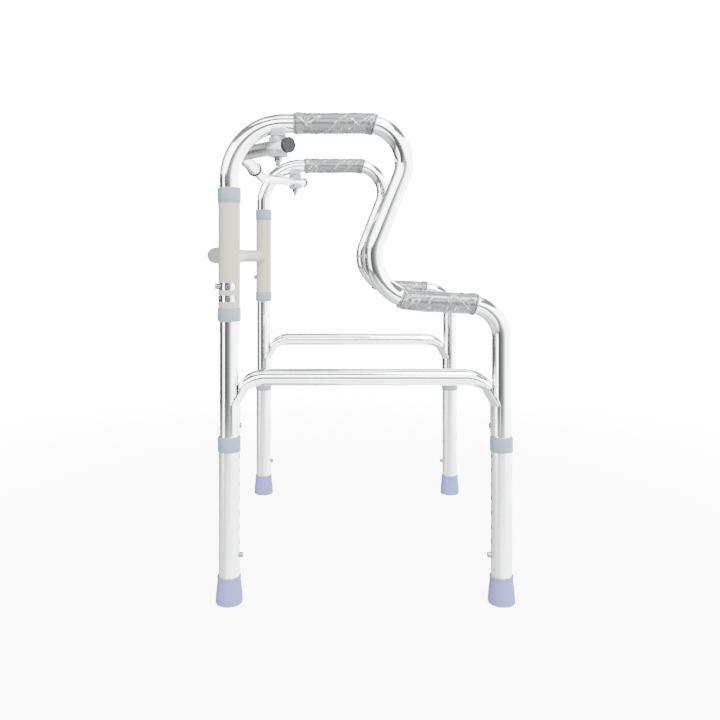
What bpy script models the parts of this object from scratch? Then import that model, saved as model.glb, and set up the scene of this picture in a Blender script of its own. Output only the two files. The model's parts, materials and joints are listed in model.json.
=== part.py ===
"""Folding walking frame with an upper and a lower hand grip on each side.

The frame stands on four height-adjustable legs. A painted cross bar joins the two
side frames at the front, where each front post turns inside an upright sleeve, so
the side frames fold inwards one after the other. A telescoping brace under the
upper handles keeps the sides apart when they stand open.

Metres, +Z up. The cross bar is at the front, -X, and the user stands at +X.
The left side frame is at -Y. The floor is at Z = 0, and the origin is in the
middle of the footprint.
"""

from math import acos, cos, pi, radians, sin, sqrt, tan

import bmesh
import bpy
from mathutils import Matrix, Vector

MM = 0.001

# Layout of the whole frame
FRAME_SPACING = 515 * MM  # left post axis to right post axis
LEG_SPACING = 401 * MM  # front leg axis to rear leg axis
HANDLE_HEIGHT = 706 * MM  # axis of the upper handle tube
UPPER_CORNER_X = 284.5 * MM  # where the handle and the diagonal would meet
SWAN_CORNER_X = 184.5 * MM
SWAN_CORNER_HEIGHT = 449 * MM
LOWER_CORNER_HEIGHT = 437.4 * MM  # where the lower handle and the rear leg would meet

# Bent tube of the side frames
TUBE_R = 14 * MM
TUBE_WALL = 1.2 * MM
TUBE_END_HEIGHT = 25 * MM  # lower ends, inside the leg tubes
FRONT_BEND_R = 81 * MM
UPPER_BEND_R = 58 * MM
SWAN_BEND_R = 66.4 * MM
REAR_BEND_R = 50 * MM

# Hand grips
GRIP_R = 16.8 * MM
GRIP_EDGE = 2.5 * MM
UPPER_GRIP_END = 132 * MM  # past the end of the front bend
UPPER_GRIP_LENGTH = {"left": 118 * MM, "right": 125 * MM}
LOWER_GRIP_LENGTH = 113 * MM
LOWER_GRIP_PAST_BEND = {"left": 11.5 * MM, "right": -2 * MM}  # past the start of the rear bend

# Clearances
RUNNING_GAP = 0.3 * MM  # between a piece and what it seats on or slides in
HOLE_GAP = 0.3 * MM  # round a pin, a rivet or a button

# Telescopic legs
LEG_WALL = 1.2 * MM
LEG_R = TUBE_R + RUNNING_GAP + LEG_WALL
LEG_TOP_HEIGHT = 235 * MM
LOWEST_HOLE_HEIGHT = 70 * MM
HOLE_PITCH = 21 * MM
HOLE_COUNT = 8
COLLAR_R = 17.3 * MM
LEG_COLLAR_LAP = 12 * MM  # over the leg's top end
LEG_COLLAR_HEIGHT = 21.5 * MM
COLLAR_EDGE = 1.5 * MM

# Rubber feet
FOOT_HEIGHT = 40 * MM
FOOT_BASE_R = 20.6 * MM
FOOT_NECK_R = 17 * MM
FOOT_RIM_R = 17.5 * MM
FOOT_RIM_HEIGHT = 3 * MM
FOOT_SOLE = 8 * MM
FOOT_EDGE = 2 * MM

# Snap clips that lock the legs
SNAP_BUTTON_R = 4 * MM
SNAP_PROUD = 5.5 * MM  # out of the leg tube
CLIP_WIDTH = 8 * MM
CLIP_THICK = 0.8 * MM
CLIP_DROP = 34 * MM  # from the button's axis to the bottom of the clip
CLIP_ABOVE = 6 * MM
CLIP_BEND_R = 9 * MM

# Painted front bar
SLEEVE_WALL = 1.7 * MM
SLEEVE_R = TUBE_R + RUNNING_GAP + SLEEVE_WALL
SLEEVE_LENGTH = 168 * MM
SLEEVE_BELOW_BEND = 30 * MM  # from the sleeve's top to the start of the front bend
SLEEVE_COLLAR_LAP = 6.5 * MM
UPPER_COLLAR_HEIGHT = 22 * MM
LOWER_COLLAR_HEIGHT = 19.5 * MM
CROSS_R = 12.5 * MM
CROSS_WALL = 1.5 * MM
CROSS_BOW = 34 * MM  # how far the middle stands in front of the posts
CROSS_SHOULDER = 62 * MM  # from a post's plane to the corner of the bow
CROSS_BEND_R = 110 * MM

# Fold lock: a button in the upper slot of the sleeve, a guide pin in the lower
FOLD_BUTTON_R = 4.5 * MM
FOLD_BUTTON_PROUD = 5 * MM
FOLD_BUTTON_RISE = 38.5 * MM  # above the sleeve's lower end
GUIDE_PIN_R = 4.2 * MM
GUIDE_PIN_SHANK_R = 2.5 * MM
GUIDE_PIN_DROP = 18 * MM  # below the fold button
POST_HOLE_R = 3.8 * MM  # holes in the post's outer face, seen in the middle of each slot
UPPER_SLOT = 11 * MM
LOWER_SLOT = 10 * MM
SLOT_SWEEP = radians(118)  # how far the button can run round the sleeve
SLOT_SPARE = radians(3)

# Side braces, crushed to saddles where they meet the legs
BRACE_R = 12.3 * MM
BRACE_RISE = 84.2 * MM  # tube axis above the lower ends
BRACE_BEND_R = 38 * MM
SADDLE_GAP = 0.5 * MM
SADDLE_THICK = 2 * MM
SADDLE_ANGLE = radians(74)  # half of the wrap round the leg
SADDLE_ABOVE_COLLAR = 3 * MM
SADDLE_HEIGHT = 44.5 * MM
CRUSH_STEPS = 6  # rings between the saddle and the full round tube
RIVET_RISE = 13 * MM  # above the brace's lower ends
RIVET_R = 2.2 * MM
RIVET_HEAD_R = 4 * MM
RIVET_HEAD = 1.8 * MM

# Telescoping brace under the upper handles
CLAMP_X = {"left": 72 * MM, "right": 68 * MM}  # bolt axes, behind the post axes
OUTER_ARM_R = 11 * MM
INNER_ARM_R = 9.5 * MM
ARM_WALL = 1.2 * MM
ARM_ANGLE = radians(50)  # between an arm and the side frame
ARM_OVERHANG = 29.5 * MM  # outermost edge of an arm past the handle axis
ARM_BEND_R = 36 * MM
CROSS_RUN_X = 6 * MM  # the brace's straight run, behind the post axis
MOUTH_Y = 30 * MM  # open end of the left arm, past the middle
INNER_ARM_END_Y = -95 * MM  # inner end of the right arm
RING_LENGTH = 14 * MM
RING_R = 14 * MM
PLUG_FLANGE = 1.5 * MM
PLUG_DEPTH = 8 * MM

# Clamps that hold the arms under the handles
CLAMP_LENGTH = 22 * MM
CLAMP_WIDTH = 26 * MM
ARM_SADDLE_LENGTH = 20 * MM
ARM_SADDLE_WIDTH = 24 * MM
CLAMP_CORNER = 5 * MM
HANDLE_LAP = 5 * MM  # how far the handle saddle reaches up the tube
HANDLE_WEB = 6 * MM  # plastic under the handle tube
ARM_WEB = 4 * MM  # plastic over and under the wider arm
ARM_LAP = 5 * MM  # how far each arm saddle reaches round the wider arm
BOLT_R = 3 * MM
BOLT_HEAD_R = 5 * MM  # seated inside the handle tube
BOLT_HEAD = 2.5 * MM
BOLT_SEAT = 10.6 * MM  # under the handle's axis
WASHER_R = 7 * MM
WASHER_THICK = 1.2 * MM
NUT_R = 5.8 * MM
NUT_HEIGHT = 5.5 * MM
CAP_R = 3.9 * MM
CAP_HEIGHT = 6 * MM

# Facets
TUBE_SIDES = 14
SLEEVE_SIDES = 16
BRACE_SIDES = 16
SMALL_SIDES = 8
BEND_STEP = radians(18)
SPRING_BEND_STEP = radians(30)

POST_Y = FRAME_SPACING / 2
SLEEVE_TOP = HANDLE_HEIGHT - FRONT_BEND_R - SLEEVE_BELOW_BEND
SLEEVE_BOTTOM = SLEEVE_TOP - SLEEVE_LENGTH
CROSS_HEIGHT = (SLEEVE_TOP + SLEEVE_BOTTOM) / 2
FOLD_BUTTON_HEIGHT = SLEEVE_BOTTOM + FOLD_BUTTON_RISE
GUIDE_PIN_HEIGHT = FOLD_BUTTON_HEIGHT - GUIDE_PIN_DROP
SADDLE_BOTTOM = LEG_TOP_HEIGHT - LEG_COLLAR_LAP + LEG_COLLAR_HEIGHT + SADDLE_ABOVE_COLLAR
SADDLE_TOP = SADDLE_BOTTOM + SADDLE_HEIGHT
RIVET_HEIGHT = SADDLE_BOTTOM + RIVET_RISE
BRACE_HEIGHT = SADDLE_BOTTOM + BRACE_RISE
SADDLE_SPLIT = HANDLE_HEIGHT - TUBE_R - HANDLE_WEB  # flat face on which the arm turns
ARM_HEIGHT = SADDLE_SPLIT - ARM_WEB - OUTER_ARM_R
LOWER_SADDLE_BOTTOM = ARM_HEIGHT - OUTER_ARM_R - ARM_WEB
FOOTPRINT_FRONT = -CROSS_BOW - CROSS_R
FOOTPRINT_REAR = LEG_SPACING + FOOT_BASE_R
SHIFT_X = -(FOOTPRINT_FRONT + FOOTPRINT_REAR) / 2

TUBE_BORE_R = TUBE_R - TUBE_WALL
SLIDING_BORE_R = TUBE_R + RUNNING_GAP
LEG_BOTTOM = FOOT_SOLE + RUNNING_GAP

X_AXIS = Vector((1, 0, 0))
Y_AXIS = Vector((0, 1, 0))
Z_AXIS = Vector((0, 0, 1))

SIDES = {"left": -1, "right": 1}


def spot(x, y, z):
    """A point given from the front posts' plane, moved to the part's own origin."""
    return Vector((x + SHIFT_X, y, z))


def around(radius, sides):
    """Radius of a polygon whose flats, not its corners, lie at the given radius."""
    return radius / cos(pi / sides)


def clear_scene():
    for obj in list(bpy.data.objects):
        bpy.data.objects.remove(obj, do_unlink=True)


def finish(name, colour, roughness, metallic):
    """A material with a plain colour, roughness and metal value."""
    material = bpy.data.materials.new(name)
    material.use_nodes = True
    shader = material.node_tree.nodes["Principled BSDF"]
    shader.inputs["Base Color"].default_value = (*colour, 1)
    shader.inputs["Roughness"].default_value = roughness
    shader.inputs["Metallic"].default_value = metallic
    material.diffuse_color = (*colour, 1)
    return material


FINISHES = {
    "bright_aluminium": ((0.78, 0.80, 0.82), 0.22, 1.0),
    "painted_bar": ((0.61, 0.60, 0.56), 0.45, 0.0),
    "collar_plastic": ((0.47, 0.53, 0.57), 0.5, 0.0),
    "clamp_plastic": ((0.60, 0.62, 0.66), 0.5, 0.0),
    "grip_foam": ((0.38, 0.38, 0.40), 0.6, 0.0),
    "foot_rubber": ((0.36, 0.36, 0.50), 0.7, 0.0),
    "zinc_steel": ((0.65, 0.66, 0.68), 0.3, 1.0),
    "spring_steel": ((0.50, 0.50, 0.52), 0.35, 1.0),
    "black_plug": ((0.03, 0.03, 0.035), 0.6, 0.0),
    "ring_plastic": ((0.70, 0.71, 0.73), 0.45, 0.0),
}


def pivot(name, place, parent=None):
    """An empty on a joint's axis. Its children's meshes are measured from it."""
    empty = bpy.data.objects.new(name, None)
    empty.empty_display_size = 0.03
    bpy.context.scene.collection.objects.link(empty)
    empty.parent = parent
    empty.location = place - (place_of(parent) if parent else Vector())
    empty["place"] = place
    return empty


def place_of(empty):
    return Vector(empty["place"])


def face_outwards(shape):
    bmesh.ops.recalc_face_normals(shape, faces=shape.faces)
    if shape.calc_volume(signed=True) < 0:
        bmesh.ops.reverse_faces(shape, faces=shape.faces)


def add_piece(name, shape, surface, carrier):
    """Make an object of a finished bmesh, with its origin on its carrier's axis."""
    face_outwards(shape)
    bmesh.ops.translate(shape, verts=shape.verts, vec=-place_of(carrier))
    mesh = bpy.data.meshes.new(name)
    shape.to_mesh(mesh)
    shape.free()
    mesh.materials.append(surface)
    mesh.shade_smooth()
    mesh.set_sharp_from_angle(angle=radians(35))
    piece = bpy.data.objects.new(name, mesh)
    bpy.context.scene.collection.objects.link(piece)
    piece.parent = carrier
    return piece


def skin(shape, rings, loop=False):
    """Join rings of points, and close the ends unless the rings run in a loop.

    A ring of one point is a pole.
    """
    rows = [[shape.verts.new(point) for point in ring] for ring in rings]
    pairs = list(zip(rows, rows[1:]))
    if loop:
        pairs.append((rows[-1], rows[0]))
    for low, high in pairs:
        count = max(len(low), len(high))
        for i in range(count):
            j = (i + 1) % count
            if len(low) == 1:
                shape.faces.new((low[0], high[j], high[i]))
            elif len(high) == 1:
                shape.faces.new((low[i], low[j], high[0]))
            else:
                shape.faces.new((low[i], low[j], high[j], high[i]))
    if not loop:
        for row in (rows[0], rows[-1]):
            if len(row) > 1:
                shape.faces.new(row)


def circle(centre, across, up, radius, sides):
    """Points round a centre, counted from the up direction."""
    points = []
    for i in range(sides):
        turn = 2 * pi * i / sides
        points.append(centre + up * (radius * cos(turn)) + across * (radius * sin(turn)))
    return points


def turned(shape, profile, sides, centre, axis=Z_AXIS, loop=False):
    """Revolve (radius, height) pairs about an axis through the centre."""
    up = X_AXIS if abs(axis.dot(X_AXIS)) < 0.9 else Z_AXIS
    across = axis.cross(up).normalized()
    up = across.cross(axis)
    rings = []
    for radius, height in profile:
        middle = centre + axis * height
        rings.append([middle] if radius == 0 else circle(middle, across, up, radius, sides))
    skin(shape, rings, loop)


class Run:
    """A route of straight lines joined by round bends, measured by its length."""

    def __init__(self, corners, radii):
        self.parts = []
        self.length = 0.0
        self.bends = []
        here = corners[0]
        for i, radius in enumerate(radii, start=1):
            before = (corners[i] - corners[i - 1]).normalized()
            after = (corners[i + 1] - corners[i]).normalized()
            angle = acos(max(-1.0, min(1.0, before.dot(after))))
            cut_back = radius * tan(angle / 2)
            start = corners[i] - before * cut_back
            self._add_line(here, start)
            normal = before.cross(after).normalized()
            centre = start + normal.cross(before) * radius
            self.bends.append((self.length, self.length + radius * angle))
            self.parts.append(("bend", self.length, radius * angle, centre, start - centre, normal, radius))
            self.length += radius * angle
            here = corners[i] + after * cut_back
        self._add_line(here, corners[-1])

    def _add_line(self, start, end):
        length = (end - start).length
        self.parts.append(("line", self.length, length, start, (end - start).normalized(), None, 0))
        self.length += length

    def at(self, distance):
        """The point and the direction of travel at a distance along the run."""
        part = self.parts[0]
        for candidate in self.parts:
            if candidate[1] <= distance + 1e-9:
                part = candidate
        kind, start, length, first, second, normal, radius = part
        along = min(max(distance - start, 0.0), length)
        if kind == "line":
            return first + second * along, second.copy()
        turn = Matrix.Rotation(along / radius, 3, normal)
        arm = turn @ second
        return first + arm, normal.cross(arm).normalized()

    def stations(self, start, end, step=BEND_STEP):
        """Distances at which a swept shape needs a ring."""
        found = {start, end}
        for kind, begin, length, _, _, _, radius in self.parts:
            if kind == "line":
                continue
            count = max(1, round(length / radius / step))
            for i in range(count + 1):
                found.add(begin + length * i / count)
        ordered = sorted(d for d in found if start <= d <= end)
        kept = ordered[:1]
        for distance in ordered[1:]:
            if distance - kept[-1] > 0.5 * MM:
                kept.append(distance)
        kept[-1] = end
        return kept

    def ring(self, distance, up, radius, sides):
        """A ring on the faceted sweep, so pieces on the same run keep their gap in bends."""
        whole = self.stations(0, self.length)
        after = next(d for d in whole if d >= distance - 1e-9)
        before = max((d for d in whole if d <= distance + 1e-9), default=after)
        share = 0 if after == before else (distance - before) / (after - before)
        ends = []
        for place in (before, after):
            point, heading = self.at(place)
            ends.append(circle(point, heading.cross(up).normalized(), up, radius, sides))
        return [low.lerp(high, share) for low, high in zip(*ends)]


def rod(shape, run, start, end, radius, up, sides=TUBE_SIDES):
    """Sweep a solid round bar along a run."""
    skin(shape, [run.ring(distance, up, radius, sides) for distance in run.stations(start, end)])


def pipe(shape, run, start, end, outer, inner, up, sides=TUBE_SIDES, edge=0.0):
    """Sweep a tube wall along a run. The up vector is square to the run's plane."""
    places = run.stations(start, end)
    inside = [run.ring(distance, up, inner, sides) for distance in places]
    if edge:
        places = [start, start + edge] + places[1:-1] + [end - edge, end]
    outside = []
    for distance in places:
        radius = outer - edge if edge and distance in (start, end) else outer
        outside.append(run.ring(distance, up, radius, sides))
    skin(shape, outside + inside[::-1], loop=True)


def drill(start, axis, length, radius, sides=SMALL_SIDES):
    """A round cutter whose flats lie at the radius."""
    shape = bmesh.new()
    full = around(radius, sides)
    turned(shape, [(full, 0), (full, length)], sides, start, axis)
    return shape


def apply_booleans(piece, shapes, operation):
    """Cut shapes out of a piece, or join them to it, and keep the result as its mesh."""
    for shape in shapes:
        face_outwards(shape)
        bmesh.ops.translate(shape, verts=shape.verts, vec=-place_of(piece.parent))
        mesh = bpy.data.meshes.new("tool")
        shape.to_mesh(mesh)
        shape.free()
        tool = bpy.data.objects.new("tool", mesh)
        tool.hide_render = True
        tool.display_type = "WIRE"
        tool.parent = piece.parent
        bpy.context.scene.collection.objects.link(tool)
        step = piece.modifiers.new("shape", "BOOLEAN")
        step.operation = operation
        step.object = tool
        bpy.context.view_layer.update()
        graph = bpy.context.evaluated_depsgraph_get()
        changed = bpy.data.meshes.new_from_object(piece.evaluated_get(graph))
        old = piece.data
        piece.modifiers.remove(step)
        piece.data = changed
        changed.name = piece.name
        bpy.data.objects.remove(tool, do_unlink=True)
        bpy.data.meshes.remove(mesh)
        bpy.data.meshes.remove(old)
    piece.data.set_sharp_from_angle(angle=radians(35))


def cut(piece, *shapes):
    apply_booleans(piece, shapes, "DIFFERENCE")


def join(piece, *shapes):
    apply_booleans(piece, shapes, "UNION")


def side_route(side):
    """Centre line of one side frame: post, handle, swan neck, lower handle, rear leg."""
    y = SIDES[side] * POST_Y
    corners = [
        spot(0, y, TUBE_END_HEIGHT),
        spot(0, y, HANDLE_HEIGHT),
        spot(UPPER_CORNER_X, y, HANDLE_HEIGHT),
        spot(SWAN_CORNER_X, y, SWAN_CORNER_HEIGHT),
        spot(LEG_SPACING, y, LOWER_CORNER_HEIGHT),
        spot(LEG_SPACING, y, TUBE_END_HEIGHT),
    ]
    return Run(corners, [FRONT_BEND_R, UPPER_BEND_R, SWAN_BEND_R, REAR_BEND_R])


def frame_tube(side, carrier, surface):
    """One bent tube with the holes for its buttons, rivets, guide pin and clamp bolt."""
    y = SIDES[side] * POST_Y
    run = side_route(side)
    shape = bmesh.new()
    pipe(shape, run, 0, run.length, TUBE_R, TUBE_BORE_R, Y_AXIS)
    tube = add_piece(side + "_frame_tube", shape, surface, carrier)
    reach = TUBE_R + TUBE_WALL
    snap_hole = SNAP_BUTTON_R + HOLE_GAP
    rivet_hole = RIVET_R + HOLE_GAP
    cut(
        tube,
        drill(spot(0, y, LOWEST_HOLE_HEIGHT), X_AXIS, reach, snap_hole),
        drill(spot(LEG_SPACING, y, LOWEST_HOLE_HEIGHT), -X_AXIS, reach, snap_hole),
        drill(spot(0, y, RIVET_HEIGHT), X_AXIS, reach, rivet_hole),
        drill(spot(LEG_SPACING, y, RIVET_HEIGHT), -X_AXIS, reach, rivet_hole),
        drill(spot(0, y, FOLD_BUTTON_HEIGHT), -X_AXIS, reach, FOLD_BUTTON_R + HOLE_GAP),
        drill(spot(0, y, GUIDE_PIN_HEIGHT), -X_AXIS, reach, GUIDE_PIN_SHANK_R + HOLE_GAP),
        drill(spot(0, y, FOLD_BUTTON_HEIGHT), Y_AXIS * SIDES[side], reach, POST_HOLE_R),
        drill(spot(0, y, GUIDE_PIN_HEIGHT), Y_AXIS * SIDES[side], reach, POST_HOLE_R),
        drill(spot(CLAMP_X[side], y, HANDLE_HEIGHT - 2 * TUBE_R), Z_AXIS, 2 * TUBE_R, BOLT_R + HOLE_GAP),
    )
    return tube


def hand_grips(side, carrier, surface):
    """Soft sleeves on the upper and the lower handle, following the tube's bends."""
    run = side_route(side)
    bore = around(SLIDING_BORE_R, TUBE_SIDES)
    end = run.bends[0][1] + UPPER_GRIP_END
    shape = bmesh.new()
    pipe(shape, run, end - UPPER_GRIP_LENGTH[side], end, GRIP_R, bore, Y_AXIS, edge=GRIP_EDGE)
    add_piece(side + "_upper_grip", shape, surface, carrier)
    end = run.bends[3][0] + LOWER_GRIP_PAST_BEND[side]
    shape = bmesh.new()
    pipe(shape, run, end - LOWER_GRIP_LENGTH, end, GRIP_R, bore, Y_AXIS, edge=GRIP_EDGE)
    add_piece(side + "_lower_grip", shape, surface, carrier)


def crushed_ring(leg_x, y, height, facing):
    """The crescent that the brace is crushed to, in a level plane round a leg."""
    inner = TUBE_R + SADDLE_GAP
    points = []
    for i in range(BRACE_SIDES):
        turn = 2 * pi * i / BRACE_SIDES
        from_leg = turn if turn <= pi else 2 * pi - turn
        share = min(from_leg, pi - from_leg) / (pi / 2)
        if abs(share - 1) < 1e-6:
            radius = inner + SADDLE_THICK / 2
        else:
            radius = inner if from_leg < pi / 2 else inner + SADDLE_THICK
        angle = SADDLE_ANGLE * share * (1 if turn <= pi else -1)
        points.append(spot(leg_x + facing * radius * cos(angle), y + radius * sin(angle), height))
    return points


def side_brace(side, carrier, surface):
    """Level tube between the legs. Each end bends down and is crushed to a saddle."""
    y = SIDES[side] * POST_Y
    inner = TUBE_R + SADDLE_GAP
    inset = inner + SADDLE_THICK / 2
    corners = [
        spot(inset, y, SADDLE_BOTTOM),
        spot(inset, y, BRACE_HEIGHT),
        spot(LEG_SPACING - inset, y, BRACE_HEIGHT),
        spot(LEG_SPACING - inset, y, SADDLE_BOTTOM),
    ]
    run = Run(corners, [BRACE_BEND_R, BRACE_BEND_R])
    flat = SADDLE_TOP - SADDLE_BOTTOM
    crush = run.bends[0][1] - flat
    near = [0, flat] + [flat + crush * i / CRUSH_STEPS for i in range(1, CRUSH_STEPS + 1)]
    rings = []
    for distance in near + [run.length - d for d in reversed(near)]:
        point, heading = run.at(distance)
        leg_x, facing = (0, 1) if distance < run.length / 2 else (LEG_SPACING, -1)
        from_end = min(distance, run.length - distance)
        share = sin(pi / 2 * min(max((from_end - flat) / crush, 0.0), 1.0))
        to_leg = heading.cross(Y_AXIS)
        from_face = facing * (point.x - spot(leg_x + facing * inner, y, 0).x)
        bulge = BRACE_R * abs(to_leg.x) - from_face
        middle = point + X_AXIS * (facing * max(bulge, 0.0))
        round_ring = circle(middle, Y_AXIS, to_leg, BRACE_R, BRACE_SIDES)
        flat_ring = crushed_ring(leg_x, y, point.z, facing)
        if (round_ring[0] - middle).dot(flat_ring[0] - flat_ring[BRACE_SIDES // 2]) < 0:
            round_ring = circle(middle, Y_AXIS, -to_leg, BRACE_R, BRACE_SIDES)
        rings.append([f.lerp(r, share) for f, r in zip(flat_ring, round_ring)])
    shape = bmesh.new()
    skin(shape, rings)
    brace = add_piece(side + "_side_brace", shape, surface, carrier)
    reach = TUBE_R + SADDLE_GAP + 2 * SADDLE_THICK
    hole = RIVET_R + HOLE_GAP
    cut(
        brace,
        drill(spot(0, y, RIVET_HEIGHT), X_AXIS, reach, hole),
        drill(spot(LEG_SPACING, y, RIVET_HEIGHT), -X_AXIS, reach, hole),
    )
    return brace


def brace_rivets(side, carrier, surface):
    """A rivet through each saddle and the tube wall behind it."""
    y = SIDES[side] * POST_Y
    seat = TUBE_R + SADDLE_GAP + SADDLE_THICK + RUNNING_GAP
    inner_face = TUBE_BORE_R - 1.9 * MM
    inner_head = 1 * MM
    profile = [
        (0, inner_face),
        (RIVET_HEAD_R * 0.8, inner_face),
        (RIVET_HEAD_R * 0.8, inner_face + inner_head),
        (RIVET_R, inner_face + inner_head),
        (RIVET_R, seat),
        (RIVET_HEAD_R, seat),
        (RIVET_HEAD_R * 0.8, seat + RIVET_HEAD * 0.65),
        (0, seat + RIVET_HEAD),
    ]
    for end, x, axis in (("front", 0, X_AXIS), ("rear", LEG_SPACING, -X_AXIS)):
        shape = bmesh.new()
        turned(shape, profile, SMALL_SIDES, spot(x, y, RIVET_HEIGHT), axis)
        add_piece(side + "_" + end + "_brace_rivet", shape, surface, carrier)


def collar_profile(bore, counterbore, radius, height, lap):
    """Stepped bush: a wide bore for the lap and a narrow one above it."""
    return [
        (around(counterbore, TUBE_SIDES), 0),
        (radius, 0),
        (radius, height - COLLAR_EDGE),
        (radius - COLLAR_EDGE, height),
        (around(bore, TUBE_SIDES), height),
        (around(bore, TUBE_SIDES), lap + RUNNING_GAP),
        (around(counterbore, TUBE_SIDES), lap + RUNNING_GAP),
    ]


def leg(side, end, carrier, frame_carrier, clip_carrier, surfaces):
    """A telescopic leg tube with its height holes, top collar, foot and snap clip."""
    y = SIDES[side] * POST_Y
    x, facing = (0, 1) if end == "front" else (LEG_SPACING, -1)
    prefix = side + "_" + end + "_"
    shape = bmesh.new()
    bore = around(SLIDING_BORE_R, TUBE_SIDES)
    turned(
        shape,
        [(LEG_R, LEG_BOTTOM), (LEG_R, LEG_TOP_HEIGHT), (bore, LEG_TOP_HEIGHT), (bore, LEG_BOTTOM)],
        TUBE_SIDES,
        spot(x, y, 0),
        loop=True,
    )
    tube = add_piece(prefix + "leg_tube", shape, surfaces["bright_aluminium"], carrier)
    holes = bmesh.new()
    for i in range(HOLE_COUNT):
        height = LOWEST_HOLE_HEIGHT + i * HOLE_PITCH
        full = around(SNAP_BUTTON_R + HOLE_GAP, SMALL_SIDES)
        turned(
            holes,
            [(full, TUBE_BORE_R / 2), (full, LEG_R + LEG_WALL)],
            SMALL_SIDES,
            spot(x, y, height),
            X_AXIS * facing,
        )
    cut(tube, holes)
    shape = bmesh.new()
    profile = collar_profile(
        SLIDING_BORE_R,
        LEG_R + RUNNING_GAP,
        COLLAR_R,
        LEG_COLLAR_HEIGHT,
        LEG_COLLAR_LAP,
    )
    turned(shape, profile, TUBE_SIDES, spot(x, y, LEG_TOP_HEIGHT - LEG_COLLAR_LAP), loop=True)
    add_piece(prefix + "leg_collar", shape, surfaces["collar_plastic"], carrier)
    foot(prefix, spot(x, y, 0), carrier, surfaces["foot_rubber"])
    snap_clip(prefix, x, y, facing, clip_carrier, surfaces["spring_steel"])


def foot(prefix, centre, carrier, surface):
    """Rubber tip: flat sole, waisted side and a thicker rim, pushed on to the leg."""
    bore = around(LEG_R + RUNNING_GAP, TUBE_SIDES)
    waist = FOOT_HEIGHT - FOOT_RIM_HEIGHT
    profile = [
        (0, 0),
        (FOOT_BASE_R - FOOT_EDGE, 0),
        (FOOT_BASE_R, FOOT_EDGE),
        (FOOT_BASE_R - 0.6 * MM, FOOT_HEIGHT * 0.35),
        (FOOT_NECK_R, waist),
        (FOOT_RIM_R, waist + FOOT_RIM_HEIGHT * 0.4),
        (FOOT_RIM_R - 0.4 * MM, FOOT_HEIGHT),
        (bore, FOOT_HEIGHT),
        (bore, FOOT_SOLE),
        (0, FOOT_SOLE),
    ]
    shape = bmesh.new()
    turned(shape, profile, TUBE_SIDES, centre)
    add_piece(prefix + "foot", shape, surface, carrier)


def strip(shape, run, width, thick):
    """Sweep a flat metal strip along a run in an upright plane square to Y."""
    rings = []
    for distance in run.stations(0, run.length, SPRING_BEND_STEP):
        point, heading = run.at(distance)
        across = heading.cross(Y_AXIS).normalized() * (thick / 2)
        half = Y_AXIS * (width / 2)
        rings.append([point + across + half, point + across - half, point - across - half, point - across + half])
    skin(shape, rings)


def hairpin(x, y, height, facing, front):
    """Route of a U-shaped spring strip inside a tube, from its button down and back up."""
    back = TUBE_BORE_R - 1.7 * MM
    corners = [
        spot(x + facing * front, y, height + CLIP_ABOVE),
        spot(x + facing * front, y, height - CLIP_DROP),
        spot(x - facing * back, y, height - CLIP_DROP),
        spot(x - facing * back, y, height + CLIP_ABOVE),
    ]
    return Run(corners, [CLIP_BEND_R, CLIP_BEND_R])


def snap_clip(prefix, x, y, facing, carrier, surface):
    """Spring strip with a button that stands out through the tube and the leg."""
    front = TUBE_BORE_R - 2.2 * MM
    shape = bmesh.new()
    strip(shape, hairpin(x, y, LOWEST_HOLE_HEIGHT, facing, front), CLIP_WIDTH, CLIP_THICK)
    clip = add_piece(prefix + "snap_clip", shape, surface, carrier)
    tip = LEG_R + SNAP_PROUD
    button = bmesh.new()
    profile = [
        (0, front),
        (SNAP_BUTTON_R, front),
        (SNAP_BUTTON_R, tip - SNAP_BUTTON_R * 0.6),
        (SNAP_BUTTON_R * 0.72, tip - SNAP_BUTTON_R * 0.18),
        (0, tip),
    ]
    turned(button, profile, SMALL_SIDES, spot(x, y, LOWEST_HOLE_HEIGHT), X_AXIS * facing)
    join(clip, button)


def slot_cutter(centre, height, way):
    """A bent bar with rounded ends that cuts a level slot round the outer face of a sleeve.

    It starts at the front and runs round the outer side. way is the side's sign.
    """
    radius = height / 2
    half_turn = radius / SLEEVE_R
    first = -SLOT_SPARE
    last = SLOT_SWEEP
    round_end = [radians(angle) for angle in (15, 40, 65, 90)]
    columns = [(first - half_turn * cos(swing), radius * sin(swing)) for swing in round_end]
    steps = 7
    columns += [(first + (last - first) * i / steps, radius) for i in range(1, steps)]
    columns += [(last + half_turn * cos(swing), radius * sin(swing)) for swing in reversed(round_end)]
    low, high = TUBE_BORE_R, SLEEVE_R + SLEEVE_WALL
    rings = []
    for turn, half in columns:
        angle = pi - way * turn
        ring = []
        for reach, rise in ((low, -half), (high, -half), (high, half), (low, half)):
            ring.append(centre + Vector((reach * cos(angle), reach * sin(angle), rise)))
        rings.append(ring)
    shape = bmesh.new()
    skin(shape, rings)
    return shape


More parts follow.
